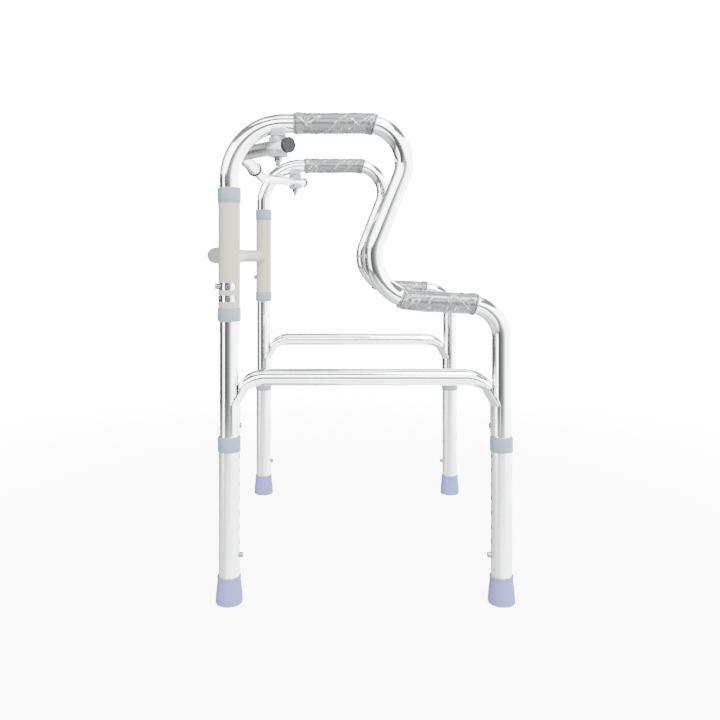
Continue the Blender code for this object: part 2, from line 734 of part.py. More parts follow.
def front_bar(root, surfaces):
    """Two upright sleeves joined by a bowed cross tube, with a bush at each sleeve end."""
    for side, way in SIDES.items():
        y = way * POST_Y
        bore = around(SLIDING_BORE_R, SLEEVE_SIDES)
        shape = bmesh.new()
        turned(
            shape,
            [(SLEEVE_R, SLEEVE_BOTTOM), (SLEEVE_R, SLEEVE_TOP), (bore, SLEEVE_TOP), (bore, SLEEVE_BOTTOM)],
            SLEEVE_SIDES,
            spot(0, y, 0),
            loop=True,
        )
        sleeve = add_piece(side + "_post_sleeve", shape, surfaces["painted_bar"], root)
        cut(
            sleeve,
            slot_cutter(spot(0, y, FOLD_BUTTON_HEIGHT), UPPER_SLOT, way),
            slot_cutter(spot(0, y, GUIDE_PIN_HEIGHT), LOWER_SLOT, way),
        )
        for name, height, bottom, axis in (
            ("upper", UPPER_COLLAR_HEIGHT, SLEEVE_TOP - SLEEVE_COLLAR_LAP, Z_AXIS),
            ("lower", LOWER_COLLAR_HEIGHT, SLEEVE_BOTTOM + SLEEVE_COLLAR_LAP, -Z_AXIS),
        ):
            shape = bmesh.new()
            profile = collar_profile(
                SLIDING_BORE_R, SLEEVE_R + RUNNING_GAP, COLLAR_R + 0.2 * MM, height, SLEEVE_COLLAR_LAP
            )
            turned(shape, profile, TUBE_SIDES, spot(0, y, bottom), axis, loop=True)
            add_piece(side + "_sleeve_" + name + "_collar", shape, surfaces["collar_plastic"], root)
    corners = [
        spot(0, -POST_Y, CROSS_HEIGHT),
        spot(-CROSS_BOW, -POST_Y + CROSS_SHOULDER, CROSS_HEIGHT),
        spot(-CROSS_BOW, POST_Y - CROSS_SHOULDER, CROSS_HEIGHT),
        spot(0, POST_Y, CROSS_HEIGHT),
    ]
    run = Run(corners, [CROSS_BEND_R, CROSS_BEND_R])
    shape = bmesh.new()
    pipe(shape, run, 0, run.length, CROSS_R, CROSS_R - CROSS_WALL, Z_AXIS)
    tube = add_piece("front_cross_tube", shape, surfaces["painted_bar"], root)
    seat = SLEEVE_R + RUNNING_GAP
    low = CROSS_HEIGHT - 2 * CROSS_R
    cut(tube, *(drill(spot(0, way * POST_Y, low), Z_AXIS, 4 * CROSS_R, seat, SLEEVE_SIDES) for way in SIDES.values()))


def fold_lock(side, carrier, button_carrier, surfaces):
    """Button and spring in the post, and the guide pin that carries the sleeve."""
    y = SIDES[side] * POST_Y
    flange_face = TUBE_BORE_R - 1.6 * MM
    flange_back = flange_face - 1 * MM
    tip = SLEEVE_R + FOLD_BUTTON_PROUD
    shape = bmesh.new()
    profile = [
        (0, flange_back),
        (FOLD_BUTTON_R + 1 * MM, flange_back),
        (FOLD_BUTTON_R + 1 * MM, flange_face),
        (FOLD_BUTTON_R, flange_face),
        (FOLD_BUTTON_R, tip - 1.5 * MM),
        (FOLD_BUTTON_R * 0.75, tip - 0.4 * MM),
        (0, tip),
    ]
    turned(shape, profile, SMALL_SIDES, spot(0, y, FOLD_BUTTON_HEIGHT), -X_AXIS)
    add_piece(side + "_fold_button", shape, surfaces["zinc_steel"], button_carrier)
    shape = bmesh.new()
    front = flange_back - RUNNING_GAP - CLIP_THICK / 2
    run = hairpin(0, y, FOLD_BUTTON_HEIGHT, -1, front)
    strip(shape, run, CLIP_WIDTH, CLIP_THICK)
    add_piece(side + "_fold_spring", shape, surfaces["spring_steel"], carrier)
    shape = bmesh.new()
    profile = [
        (0, flange_back),
        (GUIDE_PIN_R * 0.9, flange_back),
        (GUIDE_PIN_R * 0.9, flange_face),
        (GUIDE_PIN_SHANK_R, flange_face),
        (GUIDE_PIN_SHANK_R, TUBE_R + RUNNING_GAP),
        (GUIDE_PIN_R, TUBE_R + RUNNING_GAP),
        (GUIDE_PIN_R, SLEEVE_R - RUNNING_GAP),
        (0, SLEEVE_R),
    ]
    turned(shape, profile, SMALL_SIDES, spot(0, y, GUIDE_PIN_HEIGHT), -X_AXIS)
    add_piece(side + "_guide_pin", shape, surfaces["zinc_steel"], carrier)


def arm_radius(side):
    return OUTER_ARM_R if side == "left" else INNER_ARM_R


def arm_direction(side):
    """From the brace's bend towards the clamp: backwards and outboard."""
    return Vector((cos(ARM_ANGLE), SIDES[side] * sin(ARM_ANGLE), 0))


def arm_route(side):
    """Centre line of an arm, from its plugged end to its end in the cross run."""
    way = SIDES[side]
    clamp = spot(CLAMP_X[side], way * POST_Y, ARM_HEIGHT)
    outward = arm_direction(side)
    past = (ARM_OVERHANG - arm_radius(side) * cos(ARM_ANGLE)) / sin(ARM_ANGLE) - PLUG_FLANGE
    corner = clamp - outward * ((CLAMP_X[side] - CROSS_RUN_X) / cos(ARM_ANGLE))
    last_y = MOUTH_Y if side == "left" else INNER_ARM_END_Y
    end = Vector((corner.x, last_y, corner.z))
    return Run([clamp + outward * past, corner, end], [ARM_BEND_R])


def top_brace(carriers, surfaces):
    """The two arms, one inside the other, with their end plugs and the mouth ring."""
    for side in SIDES:
        radius = arm_radius(side)
        run = arm_route(side)
        inner = radius - ARM_WALL
        shape = bmesh.new()
        pipe(shape, run, 0, run.length, radius, around(inner, TUBE_SIDES) if side == "left" else inner, Z_AXIS)
        tube = add_piece(side + "_brace_arm", shape, surfaces["bright_aluminium"], carriers[side])
        hole = drill(
            spot(CLAMP_X[side], SIDES[side] * POST_Y, ARM_HEIGHT - 2 * radius), Z_AXIS, 4 * radius, BOLT_R + HOLE_GAP
        )
        cut(tube, hole)
        start, heading = run.at(0)
        spigot = inner - RUNNING_GAP
        profile = [
            (0, -PLUG_FLANGE),
            (radius - 0.6 * MM, -PLUG_FLANGE),
            (radius, -PLUG_FLANGE * 0.6),
            (radius, -RUNNING_GAP),
            (spigot, -RUNNING_GAP),
            (spigot - 0.4 * MM, PLUG_DEPTH),
            (0, PLUG_DEPTH),
        ]
        shape = bmesh.new()
        turned(shape, profile, TUBE_SIDES, start, heading)
        add_piece(side + "_arm_plug", shape, surfaces["black_plug"], carriers[side])
    mouth = spot(CROSS_RUN_X, MOUTH_Y, ARM_HEIGHT)
    lap = RING_LENGTH * 0.65
    wide = around(OUTER_ARM_R + RUNNING_GAP, TUBE_SIDES)
    narrow = around(INNER_ARM_R + RUNNING_GAP, TUBE_SIDES)
    profile = [
        (wide, -lap),
        (RING_R - 1 * MM, -lap),
        (RING_R, -lap + 1 * MM),
        (RING_R, -lap + RING_LENGTH * 0.4),
        (RING_R - 1.1 * MM, -lap + RING_LENGTH * 0.4),
        (RING_R - 1.1 * MM, -lap + RING_LENGTH * 0.7),
        (RING_R - 2.2 * MM, -lap + RING_LENGTH * 0.7),
        (RING_R - 2.4 * MM, RING_LENGTH - lap),
        (narrow, RING_LENGTH - lap),
        (narrow, RUNNING_GAP),
        (wide, RUNNING_GAP),
    ]
    shape = bmesh.new()
    turned(shape, profile, TUBE_SIDES, mouth, Y_AXIS, loop=True)
    add_piece("brace_mouth_ring", shape, surfaces["ring_plastic"], carriers["left"])


def block(centre, along, length, width, bottom, top):
    """An upright block with rounded corners, its length along a level direction."""
    across = Z_AXIS.cross(along)
    outline = []
    for sign_a, sign_b, first in ((1, 1, 0), (-1, 1, 1), (-1, -1, 2), (1, -1, 3)):
        for i in range(4):
            turn = pi / 2 * (first + i / 3)
            a = sign_a * (length / 2 - CLAMP_CORNER) + CLAMP_CORNER * cos(turn)
            b = sign_b * (width / 2 - CLAMP_CORNER) + CLAMP_CORNER * sin(turn)
            outline.append(centre + along * a + across * b)
    shape = bmesh.new()
    skin(shape, [[Vector((p.x, p.y, height)) for p in outline] for height in (bottom, top)])
    return shape


def clamp(side, frame_carrier, arm_carrier, surfaces):
    """Plastic saddles round the handle and the arm, split by the face that turns.

    The left bolt stays in the handle, and the arm turns round it. The right clamp is
    where the ring of linked pieces is opened, so its bolt is cut at the turning face:
    the head stays in the handle and the stem goes with the arm.
    """
    y = SIDES[side] * POST_Y
    centre = spot(CLAMP_X[side], y, 0)
    axis_point = spot(CLAMP_X[side], y, LOWER_SADDLE_BOTTOM - 5 * MM)
    saddle_top = HANDLE_HEIGHT - TUBE_R + HANDLE_LAP
    bolt_hole_length = saddle_top - LOWER_SADDLE_BOTTOM + 10 * MM
    hole_r = BOLT_R + HOLE_GAP
    radius = arm_radius(side)
    plastic = surfaces["clamp_plastic"]
    steel = surfaces["zinc_steel"]

    shape = block(centre, X_AXIS, CLAMP_LENGTH, CLAMP_WIDTH, SADDLE_SPLIT + RUNNING_GAP / 2, saddle_top)
    piece = add_piece(side + "_handle_saddle", shape, plastic, frame_carrier)
    handle = side_route(side)
    bend_start, bend_end = handle.bends[0]
    groove = bmesh.new()
    full = around(SLIDING_BORE_R, TUBE_SIDES)
    rod(groove, handle, (bend_start + bend_end) / 2, bend_end + CLAMP_LENGTH, full, Y_AXIS)
    cut(piece, groove, drill(axis_point, Z_AXIS, bolt_hole_length, hole_r))

    along = arm_direction(side)
    groove_start = spot(CLAMP_X[side], y, ARM_HEIGHT) - along * CLAMP_WIDTH
    for name, bottom, top in (
        ("upper", ARM_HEIGHT + OUTER_ARM_R - ARM_LAP, SADDLE_SPLIT - RUNNING_GAP / 2),
        ("lower", LOWER_SADDLE_BOTTOM, ARM_HEIGHT - OUTER_ARM_R + ARM_LAP),
    ):
        shape = block(centre, along, ARM_SADDLE_LENGTH, ARM_SADDLE_WIDTH, bottom, top)
        piece = add_piece(side + "_arm_" + name + "_saddle", shape, plastic, arm_carrier)
        cut(
            piece,
            drill(groove_start, along, 2 * CLAMP_WIDTH, radius + RUNNING_GAP, TUBE_SIDES),
            drill(axis_point, Z_AXIS, bolt_hole_length, hole_r),
        )

    head_seat = HANDLE_HEIGHT - BOLT_SEAT
    washer_top = LOWER_SADDLE_BOTTOM - RUNNING_GAP
    nut_top = washer_top - WASHER_THICK - RUNNING_GAP
    bolt_tip = nut_top - NUT_HEIGHT + 0.5 * MM
    cut_height = bolt_tip if side == "left" else SADDLE_SPLIT + RUNNING_GAP
    head = [
        (0, cut_height),
        (BOLT_R, cut_height),
        (BOLT_R, head_seat),
        (BOLT_HEAD_R, head_seat),
        (BOLT_HEAD_R * 0.8, head_seat + BOLT_HEAD * 0.7),
        (0, head_seat + BOLT_HEAD),
    ]
    shape = bmesh.new()
    turned(shape, head, SMALL_SIDES, centre)
    add_piece(side + "_clamp_bolt", shape, steel, frame_carrier)
    if side == "right":
        shape = bmesh.new()
        stem_top = SADDLE_SPLIT - RUNNING_GAP
        turned(shape, [(BOLT_R, bolt_tip), (BOLT_R, stem_top)], SMALL_SIDES, centre)
        add_piece("right_clamp_stem", shape, steel, arm_carrier)

    nut_carrier = frame_carrier if side == "left" else arm_carrier
    shape = bmesh.new()
    bore = around(hole_r, SMALL_SIDES)
    low = washer_top - WASHER_THICK
    turned(shape, [(WASHER_R, low), (WASHER_R, washer_top), (bore, washer_top), (bore, low)], TUBE_SIDES, centre, loop=True)
    add_piece(side + "_clamp_washer", shape, steel, nut_carrier)
    shape = bmesh.new()
    hexagon = NUT_R - 0.5 * MM
    turned(shape, [(hexagon, nut_top - NUT_HEIGHT), (NUT_R, nut_top - NUT_HEIGHT + 1 * MM), (NUT_R, nut_top)], 6, centre)
    nut = add_piece(side + "_cap_nut", shape, steel, nut_carrier)
    dome_base = nut_top - NUT_HEIGHT
    dome = bmesh.new()
    profile = [(CAP_R, dome_base + 2 * MM)]
    for i in range(3):
        swing = pi / 2 * i / 3
        profile.append((CAP_R * cos(swing), dome_base - (CAP_HEIGHT - CAP_R) - CAP_R * sin(swing)))
    profile.append((0, dome_base - CAP_HEIGHT))
    turned(dome, profile, SMALL_SIDES, centre)
    join(nut, dome)
    cut(nut, drill(spot(CLAMP_X[side], y, bolt_tip - RUNNING_GAP), Z_AXIS, NUT_HEIGHT + 2 * MM, hole_r))


def build():
    clear_scene()
    surfaces = {name: finish(name, *values) for name, values in FINISHES.items()}
    root = pivot("front_bar_axis", spot(0, 0, 0))
    front_bar(root, surfaces)
    frame_pivots = {}
    for side, way in SIDES.items():
        y = way * POST_Y
        frame = pivot(side + "_fold_axis", spot(0, y, 0), root)
        frame_pivots[side] = frame
        frame_tube(side, frame, surfaces["bright_aluminium"])
        hand_grips(side, frame, surfaces["grip_foam"])
        side_brace(side, frame, surfaces["bright_aluminium"])
        brace_rivets(side, frame, surfaces["zinc_steel"])
        button = pivot(side + "_fold_button_axis", spot(0, y, FOLD_BUTTON_HEIGHT), frame)
        fold_lock(side, frame, button, surfaces)
        for end, x in (("front", 0), ("rear", LEG_SPACING)):
            leg_axis = pivot(side + "_" + end + "_leg_axis", spot(x, y, 0), frame)
            clip_axis = pivot(side + "_" + end + "_clip_axis", spot(x, y, LOWEST_HOLE_HEIGHT), frame)
            leg(side, end, leg_axis, frame, clip_axis, surfaces)
    arm_pivots = {}
    for side, parent in (("left", frame_pivots["left"]), ("right", None)):
        place = spot(CLAMP_X[side], SIDES[side] * POST_Y, ARM_HEIGHT)
        arm_pivots[side] = pivot(side + "_arm_axis", place, parent or arm_pivots["left"])
    top_brace(arm_pivots, surfaces)
    for side in SIDES:
        clamp(side, frame_pivots[side], arm_pivots[side], surfaces)
    bpy.context.view_layer.update()


build()
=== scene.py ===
"""Shown pieces of a folding walking frame: bent bright tubes, foam grips still in
their clear film, satin legs in rubber feet, a painted front bar and a telescoping
top brace.

The packed CAD model is the fixed frame. Each operator makes one group of pieces in
its place, gives them their finish, and lets them ride on the moving bodies.
"""

import json
from math import acos, atan2, ceil, cos, pi, radians, sin, sqrt, tan

import bmesh
import bpy
from bpy.props import FloatProperty, FloatVectorProperty, IntProperty, PointerProperty
from mathutils import Matrix, Vector


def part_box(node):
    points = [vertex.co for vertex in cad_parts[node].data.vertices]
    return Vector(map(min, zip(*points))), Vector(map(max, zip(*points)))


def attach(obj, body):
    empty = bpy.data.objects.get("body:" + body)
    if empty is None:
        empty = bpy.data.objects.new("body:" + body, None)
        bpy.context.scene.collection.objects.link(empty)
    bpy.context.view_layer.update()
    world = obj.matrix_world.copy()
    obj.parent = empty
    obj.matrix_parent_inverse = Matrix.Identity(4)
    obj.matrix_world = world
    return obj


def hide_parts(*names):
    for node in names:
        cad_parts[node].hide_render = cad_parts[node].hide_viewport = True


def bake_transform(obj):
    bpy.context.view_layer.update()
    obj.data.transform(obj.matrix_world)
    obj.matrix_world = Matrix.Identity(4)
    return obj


bl_info = {
    "name": "Folding Walking Frame",
    "version": (1, 0, 0),
    "blender": (4, 5, 0),
    "location": "View3D > Sidebar > Walking Frame",
    "description": "Makes the shown pieces of a folding walking frame on its CAD model",
    "category": "Object",
}

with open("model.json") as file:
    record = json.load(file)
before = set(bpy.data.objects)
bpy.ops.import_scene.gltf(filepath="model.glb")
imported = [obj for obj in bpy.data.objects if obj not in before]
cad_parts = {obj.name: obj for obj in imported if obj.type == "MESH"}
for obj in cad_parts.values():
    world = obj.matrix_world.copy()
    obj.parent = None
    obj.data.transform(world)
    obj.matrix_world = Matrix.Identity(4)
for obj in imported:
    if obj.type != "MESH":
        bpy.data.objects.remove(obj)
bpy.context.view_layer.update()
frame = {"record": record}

MM = 0.001
X_AXIS = Vector((1, 0, 0))
Y_AXIS = Vector((0, 1, 0))
Z_AXIS = Vector((0, 0, 1))
SIDES = {"left": -1, "right": 1}
ENDS = {"front": 1, "rear": -1}  # the way along X that a leg's snap button points
SHARP = radians(38)  # edges sharper than this stay crisp

SLIDE_GAP = 0.3 * MM  # between a tube and what slides or turns on it
SADDLE_GAP = 0.2 * MM  # between a tube and the saddle that holds it
BUTTON_HOLE = 4.8 * MM  # radii of the holes
PIN_HOLE = 2.8 * MM
STUD_HOLE = 3.8 * MM
SNAP_HOLE = 4.3 * MM
RIVET_HOLE = 2.5 * MM
BOLT_HOLE = 3.3 * MM
SNAP_DROP = 6 * MM  # from the top of a snap clip to the axis of its button
CLIP_WIDTH = 8 * MM
CLIP_THICK = 0.8 * MM
CLIP_BEND = 9 * MM
CLIP_BACK = 1.7 * MM  # from a tube's bore to the middle of the strip's back
CLIP_FRONT = 2.2 * MM  # and to the middle of its front
CRUSHED_WALL = 2 * MM
GRIP_SIDES = 120
GRIP_RING = 0.8 * MM  # between the rings of a grip's skin
MOUTH = 30 * MM  # where the wider arm of the top brace ends, to the right of the middle
PLUG_SKIRT = 0.6 * MM  # how far an arm's end plug stands out round the arm
PLUG_FACE = 1.5 * MM  # and past its end

BODY_OF = {node: body for body, nodes in frame["record"]["behaviour"]["bodies"].items() for node in nodes}


def low(node):
    return Vector(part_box(node)[0])


def high(node):
    return Vector(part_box(node)[1])


def middle(node):
    return (low(node) + high(node)) / 2


def levels(node):
    """The bottom and the top of a CAD node."""
    return low(node).z, high(node).z


POST_X = middle("left_front_leg_tube").x
REAR_X = middle("left_rear_leg_tube").x
POST_Y = middle("right_front_leg_tube").y
END_X = {"front": POST_X, "rear": REAR_X}


def at_post(node):
    """The point on a front post's axis that is level with a CAD node."""
    at = middle(node)
    return Vector((POST_X, at.y, at.z))


def legs(sides=SIDES):
    """Each leg's side, prefix, place along X, and the way its snap button points."""
    for side in sides:
        for end, facing in ENDS.items():
            yield side, "%s_%s_" % (side, end), END_X[end], facing


def linear(code):
    """Linear RGBA of an sRGB hex colour."""
    channels = [int(code[i : i + 2], 16) / 255 for i in (1, 3, 5)]
    return tuple(c / 12.92 if c <= 0.04045 else ((c + 0.055) / 1.055) ** 2.4 for c in channels) + (1.0,)


def length(name, text, value):
    return FloatProperty(name=name, description=text, default=value, min=0, precision=4, unit="LENGTH")


def colour(name, text, code):
    return FloatVectorProperty(
        name=name, description=text, default=linear(code), size=4, min=0, max=1, subtype="COLOR"
    )


class WalkerTubeSizes(bpy.types.PropertyGroup):
    """Sizes of the bent tubes, in metres."""

    radius: length("Tube radius", "Outer radius of the bent side tubes", 14 * MM)
    wall: length("Tube wall", "Wall of the bent side tubes", 1.2 * MM)
    handle_height: length("Handle height", "Axis of the upper handle", middle("left_upper_grip").z)
    front_bend: length("Front bend", "Bend radius over the front post", 81 * MM)
    upper_bend: length("Upper bend", "Bend radius behind the upper grip", 58 * MM)
    swan_bend: length("Swan neck bend", "Bend radius in front of the lower grip", 66.4 * MM)
    rear_bend: length("Rear bend", "Bend radius over the rear leg", 50 * MM)
    upper_corner: length("Upper corner", "From the post to the corner behind the upper grip", 284.5 * MM)
    swan_corner: length("Swan neck corner", "From the post to the corner of the swan neck", 184.5 * MM)
    swan_height: length("Swan neck height", "Height of the corner of the swan neck", 449 * MM)
    lower_height: length("Rear corner height", "Height of the corner over the rear leg", 437.4 * MM)
    cross_radius: length("Cross tube radius", "Outer radius of the painted cross tube", 12.5 * MM)
    brace_radius: length("Side brace radius", "Outer radius of the low side braces", 12.3 * MM)
    outer_arm: length("Outer arm radius", "Outer radius of the wider top brace arm", 11 * MM)
    inner_arm: length("Inner arm radius", "Outer radius of the narrower top brace arm", 9.5 * MM)
    sides: IntProperty(name="Sides", description="Facets round a tube", default=56, min=12, max=128)


class WalkerFittingSizes(bpy.types.PropertyGroup):
    """Sizes of the grips, legs, feet and fittings, in metres."""

    grip_radius: length("Grip radius", "Outer radius of the foam grips at their ends", 16.75 * MM)
    grip_waist: length("Grip waist", "How much slimmer a grip is between its ends", 0.6 * MM)
    lower_grip: length("Lower grip length", "Length of the foam grips on the lower handles", 113 * MM)
    fold_depth: length("Film fold", "How far the clear film's folds stand out", 0.8 * MM)
    fold_pitch: length("Film fold pitch", "Distance along a grip from a crease to the next", 38 * MM)
    hole_pitch: length("Hole pitch", "Distance between the height holes in a leg", 21 * MM)
    hole_radius: length("Hole radius", "Radius of the height holes in a leg", 4.3 * MM)
    holes: IntProperty(name="Holes", description="Height holes in a leg", default=8, min=1, max=20)
    leg_wall: length("Leg wall", "Wall of the leg tubes", 1.2 * MM)


class WalkerFinishes(bpy.types.PropertyGroup):
    """Colours of the finishes."""

    bright: colour("Bright tube", "Buffed aluminium of the bent tubes", "#F0F2F3")
    satin: colour("Leg tube", "Satin anodised aluminium of the legs and the top brace", "#EEF1F0")
    paint: colour("Painted bar", "Powder coat of the sleeves and the cross tube", "#B0AF99")
    collar: colour("Collars", "Moulded plastic of the collars", "#798E97")
    clamp: colour("Clamps", "Moulded plastic of the clamp saddles", "#98A7B1")
    foam: colour("Grip foam", "Foam of the hand grips", "#434B50")
    # The film colour is the painted highlight on the crests of the film's folds.
    film: colour("Grip film", "Clear film where it folds over the grips", "#D6DCDE")
    rubber: colour("Feet", "Rubber of the feet", "#727AB2")
    zinc: colour("Small metal parts", "Plated steel of rivets, buttons, bolts and nuts", "#7C8185")
    # The bore colour is dark to paint the shade inside the legs and in the walls of their holes.
    bore: colour("Bores", "Mill-finish aluminium inside the legs and in the walls of their holes", "#4A4E50")
    spring: colour("Springs", "Blued steel of the springs", "#6B7075")
    plug: colour("Plug face", "Worn face of the arm's end plug", "#383B3C")
    ring: colour("Mouth ring", "Plastic ring at the mouth of the wider arm", "#C6CACC")


class WalkerStudio(bpy.types.PropertyGroup):
    """Floor, light and camera."""

    floor_size: length("Floor size", "Radius of the floor", 9.0)
    distance: length("Camera distance", "From the camera to the near side frame", 1.111)
    eye_height: length("Camera height", "Height of the camera over the floor", 0.5082)
    eye_along: length("Camera place", "From the front posts to the camera, along the frame", 0.1603)
    lens: FloatProperty(
        name="Lens",
        description="Focal length on a 36 mm sensor",
        default=37.7,
        min=10,
        subtype="DISTANCE_CAMERA",
    )
    brightness: FloatProperty(name="Light", description="Light that the studio gives", default=2.1, min=0)
    glare: FloatProperty(name="Glare", description="Brightest wall that the metal mirrors", default=10.0, min=0)
    backdrop: FloatProperty(name="Backdrop", description="Brightness of the bare backdrop", default=18.0, min=0)


# Shapes


class Route:
    """Straight runs joined by round bends, measured along its length."""

    def __init__(self, corners, radii=()):
        self.parts = []
        self.length = 0.0
        self.bends = []
        here = corners[0]
        for i, radius in enumerate(radii, start=1):
            before = (corners[i] - corners[i - 1]).normalized()
            after = (corners[i + 1] - corners[i]).normalized()
            angle = acos(max(-1.0, min(1.0, before.dot(after))))
            cut_back = radius * tan(angle / 2)
            start = corners[i] - before * cut_back
            self._line(here, start)
            normal = before.cross(after).normalized()
            centre = start + normal.cross(before) * radius
            self.bends.append((self.length, self.length + radius * angle))
            self.parts.append(("bend", self.length, radius * angle, centre, start - centre, normal, radius))
            self.length += radius * angle
            here = corners[i] + after * cut_back
        self._line(here, corners[-1])

    def _line(self, start, end):
        span = (end - start).length
        self.parts.append(("line", self.length, span, start, (end - start).normalized(), None, 0))
        self.length += span

    def at(self, distance):
        """The point and the heading at a distance along the route."""
        part = self.parts[0]
        for candidate in self.parts:
            if candidate[1] <= distance + 1e-9:
                part = candidate
        kind, start, span, first, second, normal, radius = part
        if kind == "line":
            return first + second * (distance - start), second.copy()
        along = min(max(distance - start, 0.0), span)
        arm = Matrix.Rotation(along / radius, 3, normal) @ second
        return first + arm, normal.cross(arm).normalized()

    def spread(self, start, end, step):
        """Even distances from start to end, with the ends of the bends among them."""
        marks = sorted({start, end} | {d for bend in self.bends for d in bend if start < d < end})
        found = [start]
        for first, last in zip(marks, marks[1:]):
            count = max(1, ceil((last - first) / step))
            found += [first + (last - first) * i / count for i in range(1, count + 1)]
        return found

    def ring(self, distance, radius, sides):
        """A round ring of points about an upright route, that starts where the tube is widest."""
        point, heading = self.at(distance)
        return circle(point, heading.cross(Y_AXIS).normalized(), Y_AXIS, radius, sides)


def circle(centre, across, up, radius, sides):
    turns = [2 * pi * i / sides for i in range(sides)]
    return [centre + up * (radius * cos(turn)) + across * (radius * sin(turn)) for turn in turns]


def loft(rings, loop=False, shape=None):
    """A mesh skin through rings of points, with a UV map: turns across, metres along.

    A ring of one point is a pole. Open ends are closed, unless the rings run in a loop.
    """
    shape = shape or bmesh.new()
    layer = shape.loops.layers.uv.verify()
    rows = [[shape.verts.new(point) for point in ring] for ring in rings]
    travel = [0.0]
    for before, after in zip(rings, rings[1:]):
        travel.append(travel[-1] + (after[0] - before[0]).length)
    pairs = [(i, i + 1) for i in range(len(rows) - 1)]
    if loop:
        travel.append(travel[-1] + (rings[0][0] - rings[-1][0]).length)
        pairs.append((len(rows) - 1, 0))
    for start, end in pairs:
        first, second = rows[start], rows[end]
        count = max(len(first), len(second))
        near, far = travel[start], travel[start + 1]
        for i in range(count):
            j = (i + 1) % count
            if len(first) == 1:
                marks = [(first[0], i + 0.5, near)]
            else:
                marks = [(first[i], i, near), (first[j], i + 1, near)]
            if len(second) == 1:
                marks += [(second[0], i + 0.5, far)]
            else:
                marks += [(second[j], i + 1, far), (second[i], i, far)]
            face = shape.faces.new([mark[0] for mark in marks])
            for corner, (_, turn, along) in zip(face.loops, marks):
                corner[layer].uv = (turn / count, along)
    if not loop:
        for row in (rows[0], rows[-1]):
            if len(row) > 1:
                for corner in shape.faces.new(row).loops:
                    corner[layer].uv = (0.5, 0.0)
    return shape


def revolve(profile, centre, axis=Z_AXIS, sides=64, loop=False, shape=None):
    """Turn (radius, height) pairs about an axis through the centre."""
    up = X_AXIS if abs(axis.dot(X_AXIS)) < 0.9 else Z_AXIS
    across = axis.cross(up).normalized()
    up = across.cross(axis)
    rings = []
    for radius, height in profile:
        point = centre + axis * height
        rings.append([point] if radius < 1e-9 else circle(point, across, up, radius, sides))
    return loft(rings, loop, shape)


def rounded(corners, steps=4, loop=False):
    """Round the corners of a profile. Each corner is (radius, height, fillet)."""
    points = []
    count = len(corners)
    for i, (x, y, fillet) in enumerate(corners):
        here = Vector((x, y))
        if fillet <= 0 or (not loop and i in (0, count - 1)):
            points.append((x, y))
            continue
        before = Vector(corners[i - 1][:2]) - here
        after = Vector(corners[(i + 1) % count][:2]) - here
        half = before.angle(after) / 2
        reach = min(fillet / tan(half), before.length * 0.49, after.length * 0.49)
        size = reach * tan(half)
        halfway = (before.normalized() + after.normalized()).normalized()
        centre = here + halfway * (size / sin(half))
        first = here + before.normalized() * reach - centre
        last = here + after.normalized() * reach - centre
        swing = first.angle_signed(last)
        for step in range(steps + 1):
            turn = -swing * step / steps
            x = centre.x + first.x * cos(turn) - first.y * sin(turn)
            points.append((x, centre.y + first.x * sin(turn) + first.y * cos(turn)))
    return points


def drill(start, axis, depth, radius, shape=None, sides=32):
    """A round cutter. Several can share a bmesh while they stay apart."""
    return revolve([(radius, 0), (radius, depth)], start, axis, sides, shape=shape)


# Pieces and their meshes


def link(name, data):
    """A new object in the scene."""
    thing = bpy.data.objects.new(name, data)
    bpy.context.scene.collection.objects.link(thing)
    return thing


def face_outwards(shape):
    bmesh.ops.recalc_face_normals(shape, faces=shape.faces)
    if shape.calc_volume(signed=True) < 0:
        bmesh.ops.reverse_faces(shape, faces=shape.faces)


def new_piece(name, shape, *finishes):
    """A smooth piece with the mesh of a closed bmesh."""
    face_outwards(shape)
    mesh = bpy.data.meshes.new(name)
    shape.to_mesh(mesh)
    shape.free()
    mesh.shade_smooth()
    mesh.set_sharp_from_angle(angle=SHARP)
    for finish in finishes:
        mesh.materials.append(surface(finish))
    return link(name, mesh)


def reshape(piece, *changes):
    """Run a piece's mesh through functions of its bmesh."""
    shape = bmesh.new()
    shape.from_mesh(piece.data)
    for change in changes:
        change(shape)
    shape.to_mesh(piece.data)
    shape.free()


def show(piece, *nodes):
    """Let a piece stand for CAD nodes, and ride on their body."""
    bodies = {BODY_OF[node] for node in nodes}
    if len(bodies) != 1:
        raise RuntimeError("%s stands for nodes of more than one body" % piece.name)
    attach(piece, bodies.pop())
    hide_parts(*nodes)


def show_bent(spring, node, frame_body, button_body, fixed, pressed):
    """Let a spring stand for a CAD node. It stays where it is made."""
    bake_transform(spring)
    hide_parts(node)


def turned(name, corners, centre, axis, finish, steps=4, sides=64, loop=False):
    """A turned piece. Its corners are (radius, height, fillet)."""
    return new_piece(name, revolve(rounded(corners, steps, loop), centre, axis, sides, loop), finish)


def settle(piece):
    """Make a piece's live modifiers part of its mesh, and take them off."""
    bpy.context.view_layer.update()
    graph = bpy.context.evaluated_depsgraph_get()
    mesh = bpy.data.meshes.new_from_object(piece.evaluated_get(graph))
    piece.modifiers.clear()
    old = piece.data
    piece.data = mesh
    mesh.name = piece.name
    bpy.data.meshes.remove(old)
    return piece


def remove(piece):
    mesh = piece.data
    bpy.data.objects.remove(piece, do_unlink=True)
    bpy.data.meshes.remove(mesh)


def cut(piece, *shapes):
    """Cut shapes out of a piece."""
    for shape in shapes:
        tool = new_piece("cutter", shape)
        step = piece.modifiers.new("cut", "BOOLEAN")
        step.operation = "DIFFERENCE"
        step.object = tool
        settle(piece)
        remove(tool)
    piece.data.set_sharp_from_angle(angle=SHARP)
    return piece


def refinish(piece, finish, chosen):
    """Give the faces of a piece whose centres are chosen another finish."""
    piece.data.materials.append(surface(finish))
    for face in piece.data.polygons:
        if chosen(face.center):
            face.material_index = len(piece.data.materials) - 1


# Nodes


def fill(tree, node, inputs):
    """Set a node's inputs, each to a value or a link."""
    for name, value in inputs.items():
        if isinstance(value, bpy.types.NodeSocket):
            tree.links.new(value, node.inputs[name])
        else:
            node.inputs[name].default_value = value
    return node


